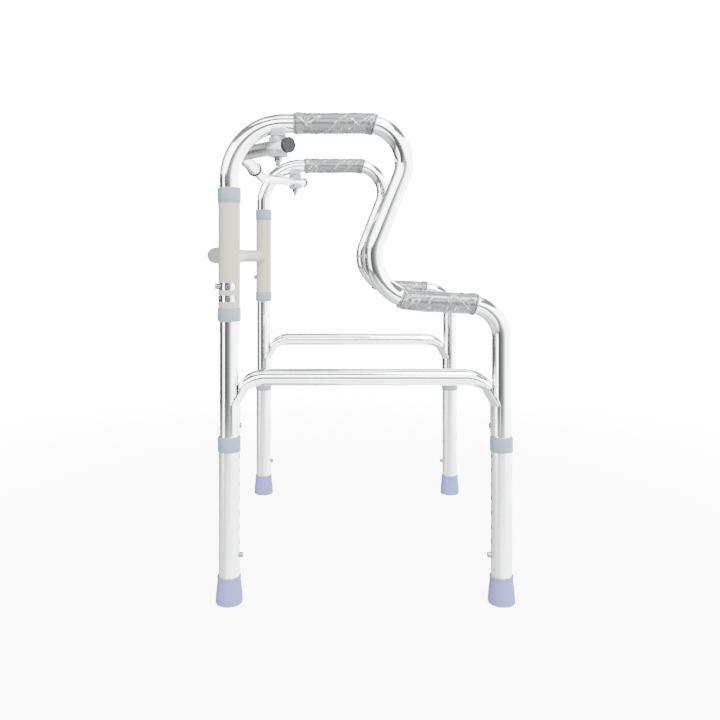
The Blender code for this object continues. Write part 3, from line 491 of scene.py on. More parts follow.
def add(tree, kind, inputs=None, **settings):
    """Add a node with its settings and inputs."""
    node = tree.nodes.new(kind)
    for name, value in settings.items():
        setattr(node, name, value)
    return fill(tree, node, inputs or {})


def first_of(tree, kind, inputs=None, **settings):
    """The first output of a new node."""
    return add(tree, kind, inputs, **settings).outputs[0]


def maths(tree, operation, *values):
    return first_of(tree, "ShaderNodeMath", dict(enumerate(values)), operation=operation)


def noise(tree, place, scale, detail, **more):
    return first_of(tree, "ShaderNodeTexNoise", {"Vector": place, "Scale": scale, "Detail": detail, **more})


def ranged(tree, value, to_low, to_high, from_low=0.0, from_high=1.0, curve="LINEAR"):
    """The value moved from one range to another, and kept in it."""
    places = {"From Min": from_low, "From Max": from_high, "To Min": to_low, "To Max": to_high}
    return first_of(tree, "ShaderNodeMapRange", {"Value": value, **places}, interpolation_type=curve)


def mixed(tree, share, first, second):
    """The first number where the share is 0, and the second where it is 1."""
    return first_of(tree, "ShaderNodeMix", {0: share, 2: first, 3: second})


def mixed_colour(tree, share, first, second):
    return add(tree, "ShaderNodeMix", {0: share, 6: first, 7: second}, data_type="RGBA").outputs[2]


# Geometry Nodes


def new_tree(name, **sockets):
    """A node group with a geometry, further inputs and a surface, and the inputs' outputs."""
    tree = bpy.data.node_groups.new(name, "GeometryNodeTree")
    tree.interface.new_socket("Geometry", in_out="INPUT", socket_type="NodeSocketGeometry")
    for label, kind in {**sockets, "Surface": "Material"}.items():
        tree.interface.new_socket(label, in_out="INPUT", socket_type="NodeSocket" + kind)
    tree.interface.new_socket("Geometry", in_out="OUTPUT", socket_type="NodeSocketGeometry")
    return tree, add(tree, "NodeGroupInput").outputs


def end_tree(tree, geometry, surface):
    real = first_of(tree, "GeometryNodeRealizeInstances", {"Geometry": geometry})
    dressed = first_of(tree, "GeometryNodeSetMaterial", {"Geometry": real, "Material": surface})
    add(tree, "NodeGroupOutput", {"Geometry": dressed})
    return tree


def run_nodes(piece, make, finish, **values):
    """Run a piece through a node group, with its inputs set by their sockets' identifiers."""
    tree = bpy.data.node_groups.get(make.__name__) or make(make.__name__)
    step = piece.modifiers.new(tree.name, "NODES")
    step.node_group = tree
    values["Surface"] = surface(finish)
    for item in tree.interface.items_tree:
        if item.item_type == "SOCKET" and item.in_out == "INPUT" and item.name in values:
            step[item.identifier] = values[item.name]
    return settle(piece)


def captured(tree, geometry, name, value):
    """The outputs of a geometry that carries a value along: Geometry, and the name."""
    node = add(tree, "GeometryNodeCaptureAttribute", domain="POINT")
    node.capture_items.new("FLOAT", name)
    return fill(tree, node, {"Geometry": geometry, name: value}).outputs


def stored(tree, geometry, name, value, kind, domain):
    """The geometry with a named attribute."""
    inputs = {"Geometry": geometry, "Name": name}
    node = add(tree, "GeometryNodeStoreNamedAttribute", inputs, data_type=kind, domain=domain)
    tree.links.new(value, next(s for s in node.inputs if s.name == "Value" and s.enabled))
    return node.outputs[0]


def named(tree, name):
    return first_of(tree, "GeometryNodeInputNamedAttribute", {"Name": name}, data_type="FLOAT")


def swept_skin(name):
    """A round skin swept along a line of points, with turns and metres as its UV map."""
    tree, given = new_tree(name, Radius="Float", Sides="Int")
    line = first_of(tree, "GeometryNodeMeshToCurve", {"Mesh": given["Geometry"]})
    size = {"Resolution": given["Sides"], "Radius": given["Radius"]}
    ring = first_of(tree, "GeometryNodeCurvePrimitiveCircle", size)
    place = add(tree, "GeometryNodeSplineParameter").outputs
    along = captured(tree, line, "Metres", place["Length"])
    around = captured(tree, ring, "Turns", place["Factor"])
    curves = {"Curve": along["Geometry"], "Profile Curve": around["Geometry"]}
    skin = first_of(tree, "GeometryNodeCurveToMesh", curves)
    pair = first_of(tree, "ShaderNodeCombineXYZ", {"X": around["Turns"], "Y": along["Metres"]})
    mapped = stored(tree, skin, "UVMap", pair, "FLOAT2", "CORNER")
    smooth = first_of(tree, "GeometryNodeSetShadeSmooth", {"Geometry": mapped})
    return end_tree(tree, smooth, given["Surface"])


def copies_along(tree, given, shape, start, turn):
    """Copies of a shape at even steps."""
    steps = {"Count": given["Count"], "Start Location": start, "Offset": given["Step"]}
    points = first_of(tree, "GeometryNodeMeshLine", steps, mode="OFFSET")
    inputs = {"Points": points, "Instance": shape, "Rotation": turn}
    return first_of(tree, "GeometryNodeInstanceOnPoints", inputs)


def row_of_holes(name):
    """A straight row of round holes, cut out of the geometry."""
    tree, given = new_tree(name, First="Vector", Step="Vector", Count="Int", Radius="Float", Depth="Float")
    size = {"Vertices": 32, "Radius": given["Radius"], "Depth": given["Depth"]}
    plug = add(tree, "GeometryNodeMeshCylinder", size).outputs["Mesh"]
    row = copies_along(tree, given, plug, given["First"], (0, pi / 2, 0))
    cutters = first_of(tree, "GeometryNodeRealizeInstances", {"Geometry": row})
    inputs = {"Mesh 1": given["Geometry"]}
    holed = add(tree, "GeometryNodeMeshBoolean", inputs, operation="DIFFERENCE", solver="EXACT")
    tree.links.new(cutters, holed.inputs["Mesh 2"])
    return end_tree(tree, holed.outputs[0], given["Surface"])


def turned_copies(name):
    """Copies of the geometry at even steps, each turned further about the vertical."""
    tree, given = new_tree(name, Count="Int", Step="Vector", Turn="Float")
    turn = maths(tree, "MULTIPLY", first_of(tree, "GeometryNodeInputIndex"), given["Turn"])
    heading = first_of(tree, "ShaderNodeCombineXYZ", {"Z": turn})
    row = copies_along(tree, given, given["Geometry"], (0, 0, 0), heading)
    return end_tree(tree, row, given["Surface"])


def patches(tree, place, scale, start, end):
    """Soft-edged patches of 1 on 0."""
    return ranged(tree, noise(tree, place, scale, 1.0), 0.0, 1.0, start, end, "SMOOTHSTEP")


def film_folds(name):
    """Folds of a clear film wound round a grip: helical creases both ways, and fine puckers.

    The mesh carries its place along the grip and round it as the attributes along and turn,
    and has skin at 1 where the film is.
    """
    tree, given = new_tree(name, Depth="Float", Pitch="Float", Seed="Float")
    place = first_of(tree, "GeometryNodeInputPosition")
    moved = first_of(tree, "ShaderNodeVectorMath", {0: place, 1: given["Seed"]}, operation="ADD")
    start = maths(tree, "MULTIPLY_ADD", noise(tree, moved, 38.0, 2.0), 0.6, given["Seed"])
    base = maths(tree, "ADD", maths(tree, "DIVIDE", named(tree, "along"), given["Pitch"]), start)
    turn = named(tree, "turn")
    # Each set of creases has its starts round the grip, its shift in turns, half the width of
    # a crease in turns, and the scale and the threshold of the patches where it shows.
    fold = 0.0
    for starts, shift, width, scale, edge in (
        (3.0, 0.0, 0.026, 24.0, 0.30),
        (3.0, 0.09, 0.020, 24.0, 0.34),
        (-3.0, 0.37, 0.024, 30.0, 0.42),
        (4.0, 0.62, 0.018, 34.0, 0.42),
        (5.0, 0.20, 0.022, 40.0, 0.44),
    ):
        wound = maths(tree, "ADD", maths(tree, "MULTIPLY_ADD", turn, starts, base), shift)
        line = ranged(tree, maths(tree, "PINGPONG", wound, 1.0), 1.0, 0.0, 0.0, width, "SMOOTHERSTEP")
        crease = maths(tree, "MULTIPLY", line, patches(tree, moved, scale, edge, edge + 0.06))
        fold = maths(tree, "MAXIMUM", fold, crease)
    # Puckers are short and fine, and lie at a slant where the film was pulled tight.
    inputs = {"Vector": moved, "Rotation": (0.2, 0.8, 0.3)}
    slant = first_of(tree, "ShaderNodeVectorRotate", inputs, rotation_type="EULER_XYZ")
    stretched = first_of(tree, "ShaderNodeVectorMath", {0: slant, 1: (90, 200, 520)}, operation="MULTIPLY")
    wrinkles = ranged(tree, noise(tree, stretched, 1.0, 2.0), 0.0, 1.0, 0.50, 0.64)
    pucker = maths(tree, "MULTIPLY", wrinkles, patches(tree, moved, 30.0, 0.43, 0.53))
    rise = maths(tree, "MINIMUM", maths(tree, "MULTIPLY_ADD", pucker, 0.66, fold), 1.0)
    lift = maths(tree, "MULTIPLY", maths(tree, "MULTIPLY", rise, given["Depth"]), named(tree, "skin"))
    inputs = {0: first_of(tree, "GeometryNodeInputNormal"), "Scale": lift}
    offset = first_of(tree, "ShaderNodeVectorMath", inputs, operation="SCALE")
    kept = stored(tree, given["Geometry"], "fold", rise, "FLOAT", "POINT")
    raised = first_of(tree, "GeometryNodeSetPosition", {"Geometry": kept, "Offset": offset})
    return end_tree(tree, raised, given["Surface"])


def swept_line(name, points, radius, sides, finish, closed=False):
    """A round skin along a line of points."""
    mesh = bpy.data.meshes.new(name)
    edges = [(i, i + 1) for i in range(len(points) - 1)]
    if closed:
        edges.append((len(points) - 1, 0))
    mesh.from_pydata([tuple(p) for p in points], edges, [])
    return run_nodes(link(name, mesh), swept_skin, finish, Radius=radius, Sides=sides)


def swept_tube(name, route, radius, wall, finish, step=9 * MM):
    """A tube with its wall, swept along a route by Geometry Nodes."""
    places = set()
    for kind, start, span, *_ in route.parts:
        count = max(1, ceil(span / (step if kind == "line" else 1.8 * MM)))
        places |= {round(start + span * i / count, 7) for i in range(count + 1)}
    kept = []
    for place in sorted(places):
        if not kept or place - kept[-1] > 0.05 * MM:
            kept.append(place)
    points = [route.at(place)[0] for place in kept]
    piece = swept_line(name, points, radius, bpy.context.scene.walker_tubes.sides, finish)
    start = route.at(route.length / 2)[0]

    def face_away(shape):
        """Turn the open skin's faces away from the route."""
        bmesh.ops.recalc_face_normals(shape, faces=shape.faces)
        near = min(shape.faces, key=lambda face: (face.calc_center_median() - start).length)
        if (near.calc_center_median() - start).dot(near.normal) < 0:
            bmesh.ops.reverse_faces(shape, faces=shape.faces)

    reshape(piece, face_away)
    thicken = piece.modifiers.new("wall", "SOLIDIFY")
    thicken.thickness = wall
    thicken.offset = -1
    thicken.use_even_offset = True
    settle(piece)
    reshape(piece, face_outwards)
    piece.data.set_sharp_from_angle(angle=SHARP)
    return piece


# Finishes. Each makes the material of its own name, at its place in Object coordinates.


def surface(make):
    """The one copy of a finish's material."""
    material = bpy.data.materials.get(make.__name__)
    if material is None:
        material = bpy.data.materials.new(make.__name__)
        material.use_nodes = True
        tree = material.node_tree
        make(tree, add(tree, "ShaderNodeTexCoord").outputs["Object"], bpy.context.scene.walker_finishes)
    return material


def finished(tree, inputs):
    """Set the shader's inputs."""
    fill(tree, tree.nodes["Principled BSDF"], inputs)


def tint(tree, colour_value, amount, factor):
    """The colour, darker by the amount where the factor is 0."""
    dark = tuple(c * (1 - amount) for c in colour_value[:3]) + (1.0,)
    return mixed_colour(tree, factor, dark, tuple(colour_value))


def bumps(tree, height, strength, depth, **more):
    return first_of(tree, "ShaderNodeBump", {"Height": height, "Strength": strength, "Distance": depth, **more})


def tube_lines(tree, scale, detail):
    """Noise drawn out along a tube, from its UV map."""
    mapped = first_of(tree, "ShaderNodeUVMap", uv_map="UVMap")
    return noise(tree, first_of(tree, "ShaderNodeMapping", {"Vector": mapped, "Scale": scale}), 1.0, detail)


def buffed_aluminium(tree, place, looks):
    """Drawn aluminium tube, buffed bright: near-mirror, with drawing lines along it.

    The drawing lines are drawn 1.4 mm apart round the tube and about 0.2 m long, coarser
    than real ones so that they show. Bends are a little wavy from the bending mandrel.
    """
    lines = tube_lines(tree, (62, 5, 1), 2.0)
    fine = bumps(tree, lines, 0.12, 0.05 * MM)
    finished(
        tree,
        {
            "Base Color": tint(tree, looks.bright, 0.05, noise(tree, place, 11.0, 4.0)),
            "Metallic": 1.0,
            "Roughness": ranged(tree, lines, 0.04, 0.10, 0.3, 0.7),
            "Normal": bumps(tree, noise(tree, place, 26.0, 1.5), 0.35, 0.35 * MM, Normal=fine),
        },
    )


def satin_anodised_aluminium(tree, place, looks):
    """Etched and anodised aluminium tube: pale and silky, with soft reflections.

    The etch is drawn as a 1.6 mm grain, coarser than real so that it shows.
    """
    lines = tube_lines(tree, (56, 14, 1), 3.0)
    finished(
        tree,
        {
            "Base Color": tint(tree, looks.satin, 0.05, lines),
            "Metallic": 1.0,
            "Roughness": ranged(tree, lines, 0.24, 0.32, 0.3, 0.7),
            "Normal": bumps(tree, noise(tree, place, 620.0, 2.0), 0.12, 0.04 * MM),
        },
    )


def bare_metal(tree, colour_value, amount, pattern, smooth, rough):
    """Metal whose pattern shows in its colour and its roughness."""
    rough_place = ranged(tree, pattern, smooth, rough)
    tinted = tint(tree, colour_value, amount, pattern)
    finished(tree, {"Base Color": tinted, "Metallic": 1.0, "Roughness": rough_place})


def mill_finish_bore(tree, place, looks):
    """Aluminium as it left the die: dull, grey and faintly streaked, in the tubes and holes, and darkened to
    paint the shade inside them.
    """
    bare_metal(tree, looks.bore, 0.3, noise(tree, place, 300.0, 3.0), 0.5, 0.7)


def zinc_plated_steel(tree, place, looks):
    """Bright zinc on turned steel: small cloudy patches about 3 mm across."""
    bare_metal(tree, looks.zinc, 0.15, noise(tree, place, 330.0, 3.0), 0.16, 0.34)


def blued_spring_steel(tree, place, looks):
    """Rolled and blued spring strip: dark, with rolling lines 0.8 mm apart."""
    stretched = first_of(tree, "ShaderNodeMapping", {"Vector": place, "Scale": (1, 1, 0.05)})
    bare_metal(tree, looks.spring, 0.25, noise(tree, stretched, 1250.0, 2.0), 0.28, 0.42)


def powder_coat(tree, place, looks):
    """Powder coat on steel: an even half-gloss with orange peel about 2.5 mm across."""
    peel = noise(tree, place, 400.0, 1.0)
    finished(
        tree,
        {
            "Base Color": tint(tree, looks.paint, 0.07, noise(tree, place, 30.0, 3.0)),
            "Roughness": ranged(tree, peel, 0.38, 0.52),
            "IOR": 1.5,
            "Normal": bumps(tree, peel, 0.3, 0.08 * MM),
        },
    )


def moulded(tree, place, colour_value, smooth, rough, **more):
    """Spark-eroded mould grain about 1.5 mm across, and slight flow clouds."""
    grain = noise(tree, place, 680.0, 2.0)
    finished(
        tree,
        {
            "Base Color": tint(tree, colour_value, 0.09, noise(tree, place, 55.0, 2.5)),
            "Roughness": ranged(tree, grain, smooth, rough),
            "Normal": bumps(tree, grain, 0.25, 0.05 * MM),
            **more,
        },
    )


def collar_polypropylene(tree, place, looks):
    """Injection-moulded polypropylene: a waxy half-matt skin."""
    moulded(tree, place, looks.collar, 0.42, 0.55, IOR=1.49)


def clamp_nylon(tree, place, looks):
    """Injection-moulded nylon: paler and a little glossier than the collars."""
    moulded(tree, place, looks.clamp, 0.34, 0.46, IOR=1.53)


def ring_acetal(tree, place, looks):
    """Machined acetal ring: smooth, whitish and slippery."""
    moulded(tree, place, looks.ring, 0.28, 0.38, IOR=1.48)


def plug_polyethylene(tree, place, looks):
    """Moulded black polyethylene: the rim of an end plug."""
    moulded(tree, place, linear("#1E2022"), 0.42, 0.55, **{"Specular IOR Level": 0.25})


def scuffed_plug_face(tree, place, looks):
    """The same polyethylene, scuffed grey in short scratches about 2 mm apart."""
    scratches = noise(tree, place, 520.0, 5.0, Roughness=0.7)
    finished(
        tree,
        {
            "Base Color": tint(tree, looks.plug, 0.45, scratches),
            "Roughness": 0.7,
            "Specular IOR Level": 0.15,
            "Normal": bumps(tree, scratches, 0.4, 0.1 * MM),
        },
    )


def foam_in_clear_film(tree, place, looks):
    """Closed-cell foam in a clear wrapping film: grey, with painted shade at the foot of each fold and a
    painted highlight on its crest.

    The foam's cells are about 1.8 mm, and the film is a thin clear coat over them.
    """
    foam = tint(tree, looks.foam, 0.16, noise(tree, place, 40.0, 4.0))
    fold = add(tree, "ShaderNodeAttribute", attribute_name="fold").outputs["Fac"]
    # The foot of a fold is darkened as painted shade, and its crest is lightened as a painted highlight.
    foot = ranged(tree, fold, 0.0, 0.6, 0.03, 0.25)
    foam_with_painted_shade = mixed_colour(tree, foot, foam, linear("#3F474A"))
    fold_highlight = ranged(tree, fold, 0.0, 0.9, 0.35, 0.8)
    finished(
        tree,
        {
            "Base Color": mixed_colour(tree, fold_highlight, foam_with_painted_shade, tuple(looks.film)),
            "Roughness": 0.55,
            "Coat Weight": 1.0,
            "Coat Roughness": 0.13,
            "Coat IOR": 1.62,
            "Normal": bumps(tree, noise(tree, place, 560.0, 2.0), 0.35, 0.15 * MM),
        },
    )


def ferrule_rubber(tree, place, looks):
    """Moulded rubber: matt, with a faint bloom, and grubby for 5 mm above the sole."""
    grain = noise(tree, place, 500.0, 2.0)
    bloom = noise(tree, place, 70.0, 4.0)
    height = add(tree, "ShaderNodeSeparateXYZ", {"Vector": place}).outputs["Z"]
    ragged = maths(tree, "MULTIPLY_ADD", bloom, -7 * MM, height)
    dirt = ranged(tree, ragged, 0.35, 0.0, -3 * MM, 1.5 * MM)
    clean = tint(tree, looks.rubber, 0.10, bloom)
    finished(
        tree,
        {
            "Base Color": mixed_colour(tree, dirt, clean, linear("#8D8C9A")),
            "Roughness": ranged(tree, grain, 0.58, 0.72),
            "IOR": 1.52,
            "Normal": bumps(tree, grain, 0.3, 0.08 * MM),
        },
    )


def white_vinyl(tree, place, looks):
    """Seamless white vinyl: matt, faintly clouded, and lost in the backdrop's light far off."""
    away = add(tree, "ShaderNodeVectorMath", {0: place}, operation="LENGTH").outputs["Value"]
    finished(
        tree,
        {
            "Base Color": tint(tree, linear("#FFFFFF"), 0.01, noise(tree, place, 1.5, 2.0)),
            "Roughness": 0.8,
            "Specular IOR Level": 0.2,
            "Alpha": ranged(tree, away, 0.5, 0.0, 0.45, 1.9, "SMOOTHSTEP"),
        },
    )


# Pieces


def side_route(side):
    """Centre line of one side tube: post, handle, swan neck, lower handle, rear leg."""
    sizes = bpy.context.scene.walker_tubes
    foot = low(side + "_frame_tube").z
    corners = [
        Vector((x, SIDES[side] * POST_Y, z))
        for x, z in (
            (POST_X, foot),
            (POST_X, sizes.handle_height),
            (POST_X + sizes.upper_corner, sizes.handle_height),
            (POST_X + sizes.swan_corner, sizes.swan_height),
            (REAR_X, sizes.lower_height),
            (REAR_X, foot),
        )
    ]
    return Route(corners, [sizes.front_bend, sizes.upper_bend, sizes.swan_bend, sizes.rear_bend])


class WALKER_OT_side_tubes(bpy.types.Operator):
    """Make the two bent side tubes, with the holes for their pins and buttons"""

    bl_idname = "walker.side_tubes"
    bl_label = "Side Tubes"

    def execute(self, context):
        sizes = context.scene.walker_tubes
        reach = 2 * sizes.radius
        for side, way in SIDES.items():
            y = way * POST_Y
            route = side_route(side)
            tube = swept_tube(side + "_bent_tube", route, sizes.radius, sizes.wall, buffed_aluminium)
            locks = (side + "_fold_button", side + "_guide_pin")
            button, pin = (Vector((POST_X, y, middle(node).z)) for node in locks)
            holes = drill(button, -X_AXIS, reach, BUTTON_HOLE)
            drill(pin, -X_AXIS, reach, PIN_HOLE, holes)
            for _, prefix, x, facing in legs([side]):
                snap = high(prefix + "snap_clip").z - SNAP_DROP
                drill(Vector((x, y, snap)), X_AXIS * facing, reach, SNAP_HOLE, holes)
                rivet = middle(prefix + "brace_rivet").z
                drill(Vector((x, y, rivet)), X_AXIS * facing, reach, RIVET_HOLE, holes)
            for at in (button, pin):
                drill(at, Y_AXIS * way, reach, STUD_HOLE, holes)
            under = Vector((middle(side + "_clamp_bolt").x, y, sizes.handle_height - reach))
            drill(under, Z_AXIS, reach, BOLT_HOLE, holes)
            cut(tube, holes)
            show(tube, side + "_frame_tube")
        return {"FINISHED"}


def grip_end(route, x):
    """Where a grip on the lower handle ends, so that its end face just reaches x."""
    radius = bpy.context.scene.walker_fittings.grip_radius
    for distance in route.spread(route.bends[2][1], route.bends[3][1], 0.25 * MM):
        point, heading = route.at(distance)
        if point.x + radius * abs(heading.z) >= x:
            return distance
    raise RuntimeError("The lower grip lies past the lower handle")


def grip_radius(from_end):
    """Radius of a grip: a rounded bead and a groove at each end, and a slimmer middle."""
    sizes = bpy.context.scene.walker_fittings
    bead, groove, swell = 2.2 * MM, 1.6 * MM, 0.6 * MM
    radius = sizes.grip_radius - sizes.fold_depth + swell
    if from_end < bead:
        return radius - bead * 0.8 * (1 - sqrt(max(0.0, 1 - (1 - from_end / bead) ** 2)))
    if from_end < bead + groove:
        return radius - 1.1 * MM * sin(pi * (from_end - bead) / groove)
    waist = min(1.0, (from_end - bead - groove) / (12 * MM))
    return radius - (swell + sizes.grip_waist) * waist * waist * (3 - 2 * waist)


class WALKER_OT_hand_grips(bpy.types.Operator):
    """Make the four foam hand grips in their crinkled clear film"""

    bl_idname = "walker.hand_grips"
    bl_label = "Hand Grips"

    def execute(self, context):
        front_bend = context.scene.walker_tubes.front_bend
        sizes = context.scene.walker_fittings
        seed = 3.0
        for side in SIDES:
            route = side_route(side)
            for which in ("upper", "lower"):
                node = "%s_%s_grip" % (side, which)
                if which == "upper":
                    start = route.bends[0][1] + low(node).x - POST_X - front_bend
                    span = high(node).x - low(node).x
                else:
                    span = sizes.lower_grip
                    start = grip_end(route, high(node).x) - span
                grip = self.grip("%s_%s_hand_grip" % (side, which), route, start, span)
                values = {"Depth": sizes.fold_depth, "Pitch": sizes.fold_pitch, "Seed": seed}
                run_nodes(grip, film_folds, foam_in_clear_film, **values)
                seed += 5.0
                show(grip, node)
        return {"FINISHED"}

    def grip(self, name, route, start, span):
        """A smooth grip: its skin, and back through its bore."""
        bore = bpy.context.scene.walker_tubes.radius + 0.15 * MM
        skin = route.spread(start, start + span, GRIP_RING)
        back = route.spread(start, start + span, 6 * MM)[::-1]
        radii = [grip_radius(min((d - start) / span, 1 - (d - start) / span) * span) for d in skin]
        rings = [route.ring(d, radius, GRIP_SIDES) for d, radius in zip(skin, radii)]
        rings += [route.ring(d, bore, GRIP_SIDES) for d in back]
        grip = new_piece(name, loft(rings, loop=True), foam_in_clear_film)
        marks = [(1.0, d) for d in skin] + [(0.0, d) for d in back]
        for attribute, values in (
            ("skin", [mark[0] for mark in marks for _ in range(GRIP_SIDES)]),
            ("along", [mark[1] for mark in marks for _ in range(GRIP_SIDES)]),
            ("turn", [i / GRIP_SIDES for _ in marks for i in range(GRIP_SIDES)]),
        ):
            grip.data.attributes.new(attribute, "FLOAT", "POINT").data.foreach_set("value", values)
        return grip


class WALKER_OT_legs(bpy.types.Operator):
    """Make the four telescopic legs with their rows of height holes, and their collars"""

    bl_idname = "walker.legs"
    bl_label = "Legs"

    def execute(self, context):
        sizes = context.scene.walker_fittings
        radius = context.scene.walker_tubes.radius + SLIDE_GAP + sizes.leg_wall
        for _, prefix, _, facing in legs():
            node = prefix + "leg_tube"
            axis = middle(node)
            line = Route([Vector((axis.x, axis.y, z)) for z in levels(node)])
            tube = swept_tube(
                prefix + "lower_leg", line, radius, sizes.leg_wall, satin_anodised_aluminium, step=5.25 * MM
            )
            run_nodes(
                tube,
                row_of_holes,
                satin_anodised_aluminium,
                First=(axis.x + facing * radius, axis.y, high(prefix + "snap_clip").z - SNAP_DROP),
                Step=(0, 0, sizes.hole_pitch),
                Count=sizes.holes,
                Radius=sizes.hole_radius,
                Depth=8 * MM,
            )
            tube.data.set_sharp_from_angle(angle=SHARP)
            bore = radius - 0.1 * MM
            # The bores and the hole walls get a dark finish that paints the shade inside them.
            refinish(tube, mill_finish_bore, lambda at: (at.xy - axis.xy).length < bore)
            show(tube, node)
            bush(prefix + "leg_bush", prefix + "leg_collar", radius, 12 * MM)
        return {"FINISHED"}


def bush(name, node, tube_radius, lap, axis=Z_AXIS, lip=False):
    """A moulded collar: wide over the tube that it caps, narrow round the one that slides."""
    bottom, top = levels(node)
    span = top - bottom
    outer = (high(node).y - low(node).y) / 2
    wide = tube_radius + SLIDE_GAP
    narrow = bpy.context.scene.walker_tubes.radius + SLIDE_GAP
    corners = [
        (wide, 0, 0.3 * MM),
        (outer, 0, 0.9 * MM),
        (outer, span, 1.6 * MM),
        (narrow, span, 0.5 * MM),
        (narrow, lap + 0.3 * MM, 0),
        (wide, lap + 0.3 * MM, 0),
    ]
    if lip:
        # A groove near the open end sets off a thin lip.
        corners[1:2] = [
            (outer, 0, 0.5 * MM),
            (outer, 1.8 * MM, 0.2 * MM),
            (outer - 0.8 * MM, 2.2 * MM, 0.1 * MM),
            (outer - 0.8 * MM, 2.7 * MM, 0.1 * MM),
            (outer, 3.1 * MM, 0.2 * MM),
        ]
    start = middle(node)
    start.z = bottom if axis.z > 0 else top
    show(turned(name, corners, start, axis, collar_polypropylene, sides=72, loop=True), node)


class WALKER_OT_feet(bpy.types.Operator):
    """Make the four rubber feet: waisted, with a thin rolled rim at the top"""

    bl_idname = "walker.feet"
    bl_label = "Feet"

    def execute(self, context):
        bore = context.scene.walker_tubes.radius + 2 * SLIDE_GAP + context.scene.walker_fittings.leg_wall
        for _, prefix, _, _ in legs():
            node = prefix + "foot"
            axis = middle(node)
            base = (high(node).y - low(node).y) / 2
            height = high(node).z
            corners = [
                (0, 1.2 * MM, 0),
                (base - 9 * MM, 1.2 * MM, 0),
                (base - 9 * MM, 0, 0),
                (base, 0, 2.4 * MM),
                (base - 0.5 * MM, height * 0.33, 14 * MM),
                (17 * MM, height - 3.2 * MM, 1.2 * MM),
                (17.7 * MM, height - 2.4 * MM, 0.5 * MM),
                (17.6 * MM, height, 0.7 * MM),
                (bore, height, 0.5 * MM),
                (bore, 8 * MM, 0),
                (0, 8 * MM, 0),
            ]
            start = Vector((axis.x, axis.y, 0))
            show(turned(prefix + "ferrule", corners, start, Z_AXIS, ferrule_rubber, 6, 80), node)
        return {"FINISHED"}


def hairpin(node, x, facing, front, back):
    """A spring strip bent to a U inside a tube: down its front wall, and up its back wall."""
    bottom, top = levels(node)
    bottom += CLIP_THICK / 2
    places = ((front, top), (front, bottom), (-back, bottom), (-back, top))
    route = Route([Vector((x + facing * reach, middle(node).y, z)) for reach, z in places], [CLIP_BEND] * 2)
    half = Y_AXIS * (CLIP_WIDTH / 2)
    rings = []
    for distance in route.spread(0, route.length, 1 * MM):
        point, heading = route.at(distance)
        across = heading.cross(Y_AXIS).normalized() * (CLIP_THICK / 2)
        edges = ((across, half), (across, -half), (-across, -half), (-across, half))
        rings.append([point + first + second for first, second in edges])
    return loft(rings)


def strip_ends(x, y, z, facing, front, back):
    """Where a hairpin starts to bend as its button is pressed, and where it moves in full."""
    inset = 1 * MM
    return Vector((x - facing * (back - inset), y, z)), Vector((x + facing * (front - inset), y, z))


class WALKER_OT_snap_clips(bpy.types.Operator):
    """Make the four snap clips: a bent spring strip with a domed button"""

    bl_idname = "walker.snap_clips"
    bl_label = "Snap Clips"

    def execute(self, context):
        tubes = context.scene.walker_tubes
        inner = tubes.radius - tubes.wall
        front, back = inner - CLIP_FRONT, inner - CLIP_BACK
        for side, prefix, x, facing in legs():
            node = prefix + "snap_clip"
            shape = hairpin(node, x, facing, front, back)
            centre = Vector((x, middle(node).y, high(node).z - SNAP_DROP))
            tip = max(abs(high(node).x - x), abs(low(node).x - x))
            corners = [(0, front, 0), (4 * MM, front, 0), (4 * MM, tip, 3.6 * MM), (0, tip, 0)]
            revolve(rounded(corners, 8), centre, X_AXIS * facing, 40, shape=shape)
            clip = new_piece(prefix + "snap_button", shape, zinc_plated_steel)
            ends = strip_ends(*centre, facing, front, back)
            show_bent(clip, node, side + "_frame", BODY_OF[node], *ends)
        return {"FINISHED"}


def crushed_ring(x, y, height, facing, inner, sides):
    """The crescent that a brace is crushed to, in a level plane round a leg."""
    points = []
    for i in range(sides):
        turn = 2 * pi * i / sides
        from_leg = turn if turn <= pi else 2 * pi - turn
        share = min(from_leg, pi - from_leg) / (pi / 2)
        # The crushed wall thins to a round edge.
        depth = CRUSHED_WALL / 2 * min(1.0, sqrt(max(0.0, 1 - share**6)))
        radius = inner + CRUSHED_WALL / 2 + (-depth if from_leg < pi / 2 else depth)
        angle = radians(74) * share * (1 if turn <= pi else -1)
        points.append(Vector((x + facing * radius * cos(angle), y + radius * sin(angle), height)))
    return points


